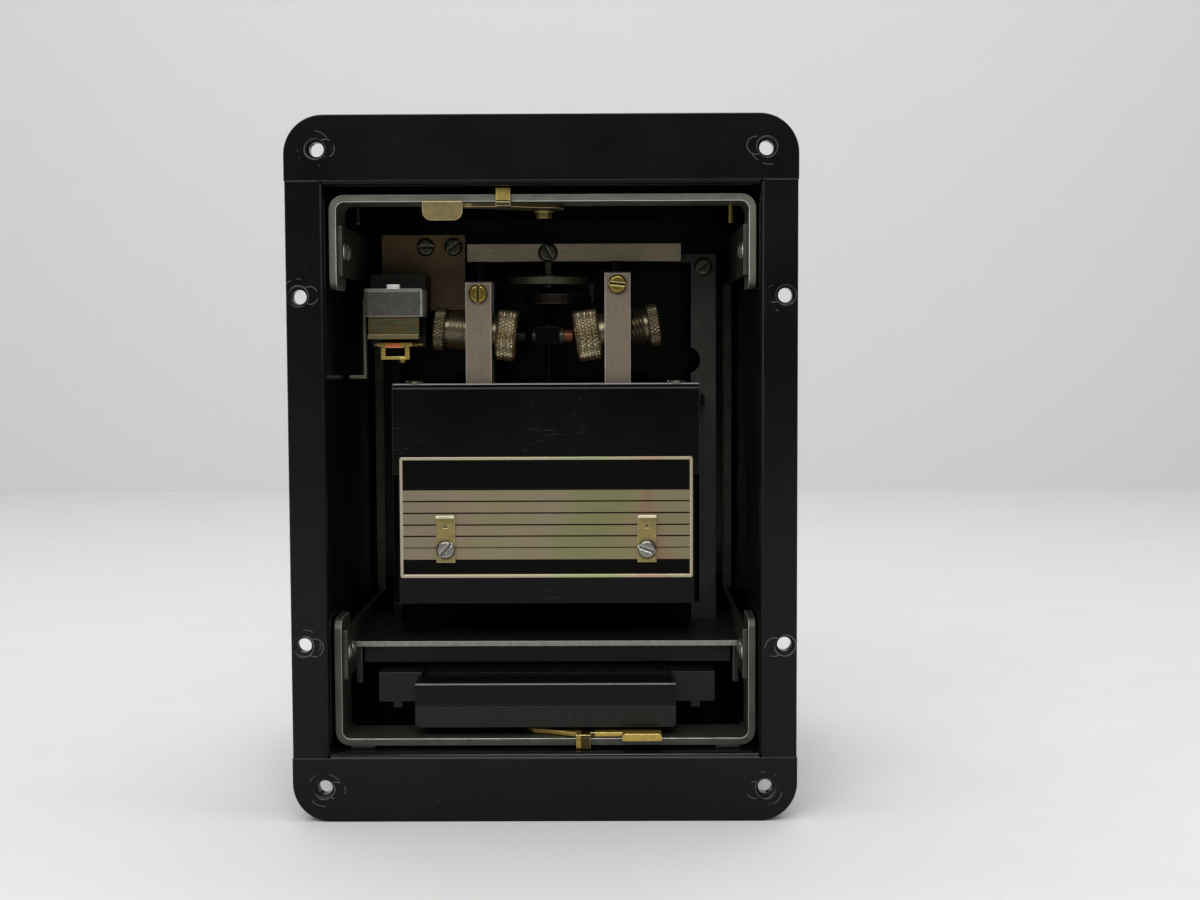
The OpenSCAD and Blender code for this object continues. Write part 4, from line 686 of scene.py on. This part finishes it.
# Sawn aluminium gives the blocks and the bar a warm matt tone with saw lines
bar_aluminium = plated("sawn aluminium bar", "#6a6053", "#796d5e", 0.45, (1, 1, 14), 0.5, 0.6, "#e6e6e4")
cross_aluminium = plated("sawn aluminium cross bar", "#837a66", "#968d75", 0.45, (14, 1, 1), 0.55, 0.6,
                         "#9c947f")

# Nickel gives the caps a warm mirror on every diamond, and painted shade darkens the grooves between
# them. Its edges aren't rounded, since that would blur the knurl
nickel = plated("nickel-plated knurled brass", "#a5977a", "#c9ba98", 0.2, (1, 1, 1), 0.95, 6.0, "#fff6d8",
                edge=0.0, open_at=0.97)
# The tubes take a darker copy of the nickel, painted darker as their shade
shaded_nickel = plated("nickel-plated tube with painted shade", "#5f5746", "#7a7058", 0.28, (1, 1, 1), 0.9, 6.0,
                    "#b4a884", edge=0.0, open_at=0.9)

# Small turned and formed metal: one colour each, with a gloss, edges painted bright as wear and highlight
# and slots painted dark as shade, which pick out heads, slots and wires
turned_steel = split_finish("turned bright steel", [], "#8f8d82", 0.85, 0.22, "#ffffff", edge=0.7)
dull_steel = split_finish("zinc-plated screw steel", [], "#504f44", 0.8, 0.27, "#c4c1ad", edge=0.5,
                          open_at=0.95)
dark_steel = split_finish("oxidised contact steel", [], "#0f0f0e", 0.2, 0.4, "#1d1c19", specular=0.1)
lever_steel = split_finish("plated lever wire", [], "#706d5f", 0.75, 0.34, "#a09c8a")
screw_brass = split_finish("turned brass screw", [], "#8a7836", 0.8, 0.22, "#fff0b4", edge=0.5, open_at=0.95)
satin_brass = plated("satin brass", "#6e5f33", "#a5905a", 0.34, (6, 6, 6), 0.85, 0.4, "#cdb878")

# Phenolic gives the mouldings a waxy near black, and the sheet its matt brown
black_phenolic = moulded("black moulded phenolic", "#0a0a0a", "#121211", 0.3, 0.2, "#2a2a28")
grey_phenolic = moulded("dark grey moulded phenolic", "#0f0f0e", "#181816", 0.25, 0.22, "#353533")
paper_phenolic = sheet_laminate("paper phenolic sheet", "#5a4520", "#745a2b")

# Bright etched metal between black fields makes the nameplate the palest thing inside the case
nameplate_etch = etched_plate("etched aluminium plate")

# Painted light on the polished handle: its lower half is lighter as the table's reflection, its top face a
# little lighter where light falls, and a pale line along its top front edge is its painted highlight
HANDLE_LOW, HANDLE_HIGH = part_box("plug_handle")
HANDLE_TOP_Z = HANDLE_HIGH[Z] / MM
HANDLE_FRONT_Y = HANDLE_LOW[Y] / MM
HANDLE_SEAM_Z = HANDLE_TOP_Z - HANDLE_SEAM_SHARE * (HANDLE_TOP_Z - HANDLE_LOW[Z] / MM)
handle_finish = split_finish(
    "polished black phenolic handle",
    [(Z, HANDLE_SEAM_Z, "#20201d", UNDER), (Z, HANDLE_TOP_Z - HANDLE_CROWN_MM, "#050505", UNDER),
     (Y, HANDLE_FRONT_Y + HANDLE_HIGHLIGHT_MM, "#85878b", UNDER)],
    "#0e0e0d", 0.0, 0.18, "#23231f", specular=0.15)

# Near black on the shelf, and a pale band along its front edge painted as its highlight
shelf_finish = split_finish("dark shelf with a painted edge highlight", [(Y, SHELF_EDGE_Y, "#8b8b84", UNDER)],
                            "#1d1d1b", 0.3, 0.4, "#8e8e86")

# Gilt arms beside an orange flag, the one strong colour of the whole relay
ARMATURE_LOW, ARMATURE_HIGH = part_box("armature")
FLAG_MIDDLE_X = (ARMATURE_LOW[X] + ARMATURE_HIGH[X]) / 2 / MM
target_finish = split_finish(
    "gilt armature with an orange flag",
    [(X, FLAG_MIDDLE_X - FLAG_LEFT_MM, "#b0963f", UNDER), (X, FLAG_MIDDLE_X + FLAG_RIGHT_MM, "#b0963f", OVER),
     (Y, FLAG_FRONT_Y, "#e0784a", UNDER), (Z, ARMATURE_FRAME_Z, "#b0963f", UNDER)],
    "#6f6b58", 0.5, 0.35, "#f6e48c")

# Black arm on a dark shaft, with a copper contact at its tip
rotor_finish = split_finish(
    "contact arm on steel shaft",
    [(Z, SHAFT_Z, "#161614", UNDER), (X, LEFT_CONTACT_X, "#2b2c2d", UNDER), (X, ARM_X, "#050505", UNDER),
     (X, TIP_X, "#3a382f", UNDER), (Z, HUB_Z, "#613a27", UNDER)],
    "#1d1d1a", 0.5, 0.3, "#24231f", specular=0.08)

# Dark spring under a bronze ring, with a blackened tab on the right
adjuster_finish = split_finish(
    "bronze ring with copper spring",
    [(X, ADJUSTER_TAB_X, "#1a1d1b", OVER), (Z, SPRING_Z, "#18110e", UNDER)],
    "#514e40", 0.7, 0.35, "#6d6956")

# Zinc hood: dull in its middle, with painted highlights at its left, right and top rims, and its top tab
# painted white as a highlight
HOOD_LOW, HOOD_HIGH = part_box("target_hood")
hood_finish = split_finish(
    "zinc hood with painted rim and tab highlights",
    [(Z, HOOD_TOP_Z + HOOD_TAB_MM, "#e9e9e6", OVER),
     (X, HOOD_LOW[X] / MM + HOOD_LEFT_RIM_MM, "#8e8c80", UNDER),
     (X, HOOD_HIGH[X] / MM - HOOD_RIGHT_RIM_MM, "#b4b2a6", OVER),
     (Z, HOOD_TOP_Z - HOOD_TOP_RIM_MM, "#c2c0b4", OVER)],
    "#54534c", 0.5, 0.34, "#e6e3d6")

# Brass in lit and shaded copies: painted darker as shade where it is sheltered, on the top latch's arm and
# the bottom latch's tongue, and lighter on the tabs, the top tongue and the bottom latch's end
top_latch_finish = split_finish(
    "brass latch with painted shade on its arm",
    [(Z, TOP_TONGUE_Z, "#b5a052", OVER), (X, TOP_TAB_X, "#8d7e54", UNDER)],
    "#473b22", 0.75, 0.34, "#dccb98")
low_latch_finish = split_finish(
    "brass latch with painted shade on its tongue",
    [(X, LOW_TAB_X, "#a88c44", UNDER), (X, LOW_TONGUE_X, "#463a1c", UNDER)],
    "#bba050", 0.75, 0.3, "#dcc684")
# The left pin is drawn darker than the other
pin_finish = split_finish("latch pivot with its left pin darker", [(X, DARK_PIN_X, "#26241d", UNDER)],
                          "#8a7946", 0.75, 0.34, "#bda970")

# Lacquered brass with a pale band along its top fold painted as the table's reflection
CLIP_TOP_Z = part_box("nameplate_clips")[1][Z] / MM
clip_finish = split_finish("lacquered brass clip with a painted highlight on its fold",
                           [(Z, CLIP_TOP_Z - CLIP_FOLD_MM, "#9c8d59", UNDER)],
                           "#efe8cc", 0.7, 0.32, "#d9cc9a")

# Rainbow chromate gives the yoke its drifting colours, and the lines of sheets and wires mark stator and
# coils
yoke_chromate = chromate("yellow chromate on zinc", YOKE_LIP_Z)
laminations = steel_stack("varnished lamination stack")
winding = wound_copper("varnished copper winding")

paint_nodes([
    (case_black, "case_top_end case_bottom_end case_left_side case_right_side case_back case_guides"),
    (bracket_black, "nameplate_bracket"),
    (plate_black, "mounting_plate left_support unit_plate bar_posts"),
    (strip_steel, "cradle_top_bracket cradle_rivets"),
    (shaded_strip_steel, "cradle_bottom_bracket"),
    (shelf_finish, "cradle_shelf"),
    (side_steel, "cradle_left_side cradle_right_side"),
    (bar_aluminium, "left_contact_block right_contact_block"),
    (cross_aluminium, "top_bar"),
    (nickel, "left_contact_cap right_contact_cap"),
    (shaded_nickel, "left_contact_barrel right_contact_barrel"),
    (turned_steel, "clip_screws damper_balls"),
    (handle_finish, "plug_handle"),
    (pin_finish, "top_latch_pivot"),
    (dull_steel, "steel_screws top_bearing lower_bearing"),
    (dark_steel, "fixed_contacts"),
    (lever_steel, "reset_lever"),
    (top_latch_finish, "top_latch"),
    (low_latch_finish, "bottom_latch"),
    (satin_brass, "bottom_latch_pivot plug_blades case_fingers cradle_fingers terminal_studs stud_nuts"),
    (clip_finish, "nameplate_clips"),
    (screw_brass, "clamp_screws"),
    (hood_finish, "target_hood"),
    (olive_steel, "right_support"),
    (black_phenolic, "case_block cradle_block target_base"),
    (grey_phenolic, "plug_body"),
    (paper_phenolic, "insulating_plate contact_base"),
    (laminations, "stator stator_core"),
    (winding, "stator_coils target_coil"),
    (yoke_chromate, "target_yoke"),
    (nameplate_etch, "nameplate"),
    (target_finish, "armature"),
    (rotor_finish, "rotor"),
    (adjuster_finish, "adjuster"),
])

for side in ("left", "right"):
    cap = dress(knurled_cap(side), nickel, "cradle")
    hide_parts(side + "_contact_cap")
    barrel = dress(threaded_barrel(side), shaded_nickel, "cradle")
    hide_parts(side + "_contact_barrel")

bpy.context.scene.view_settings.view_transform = "Standard"
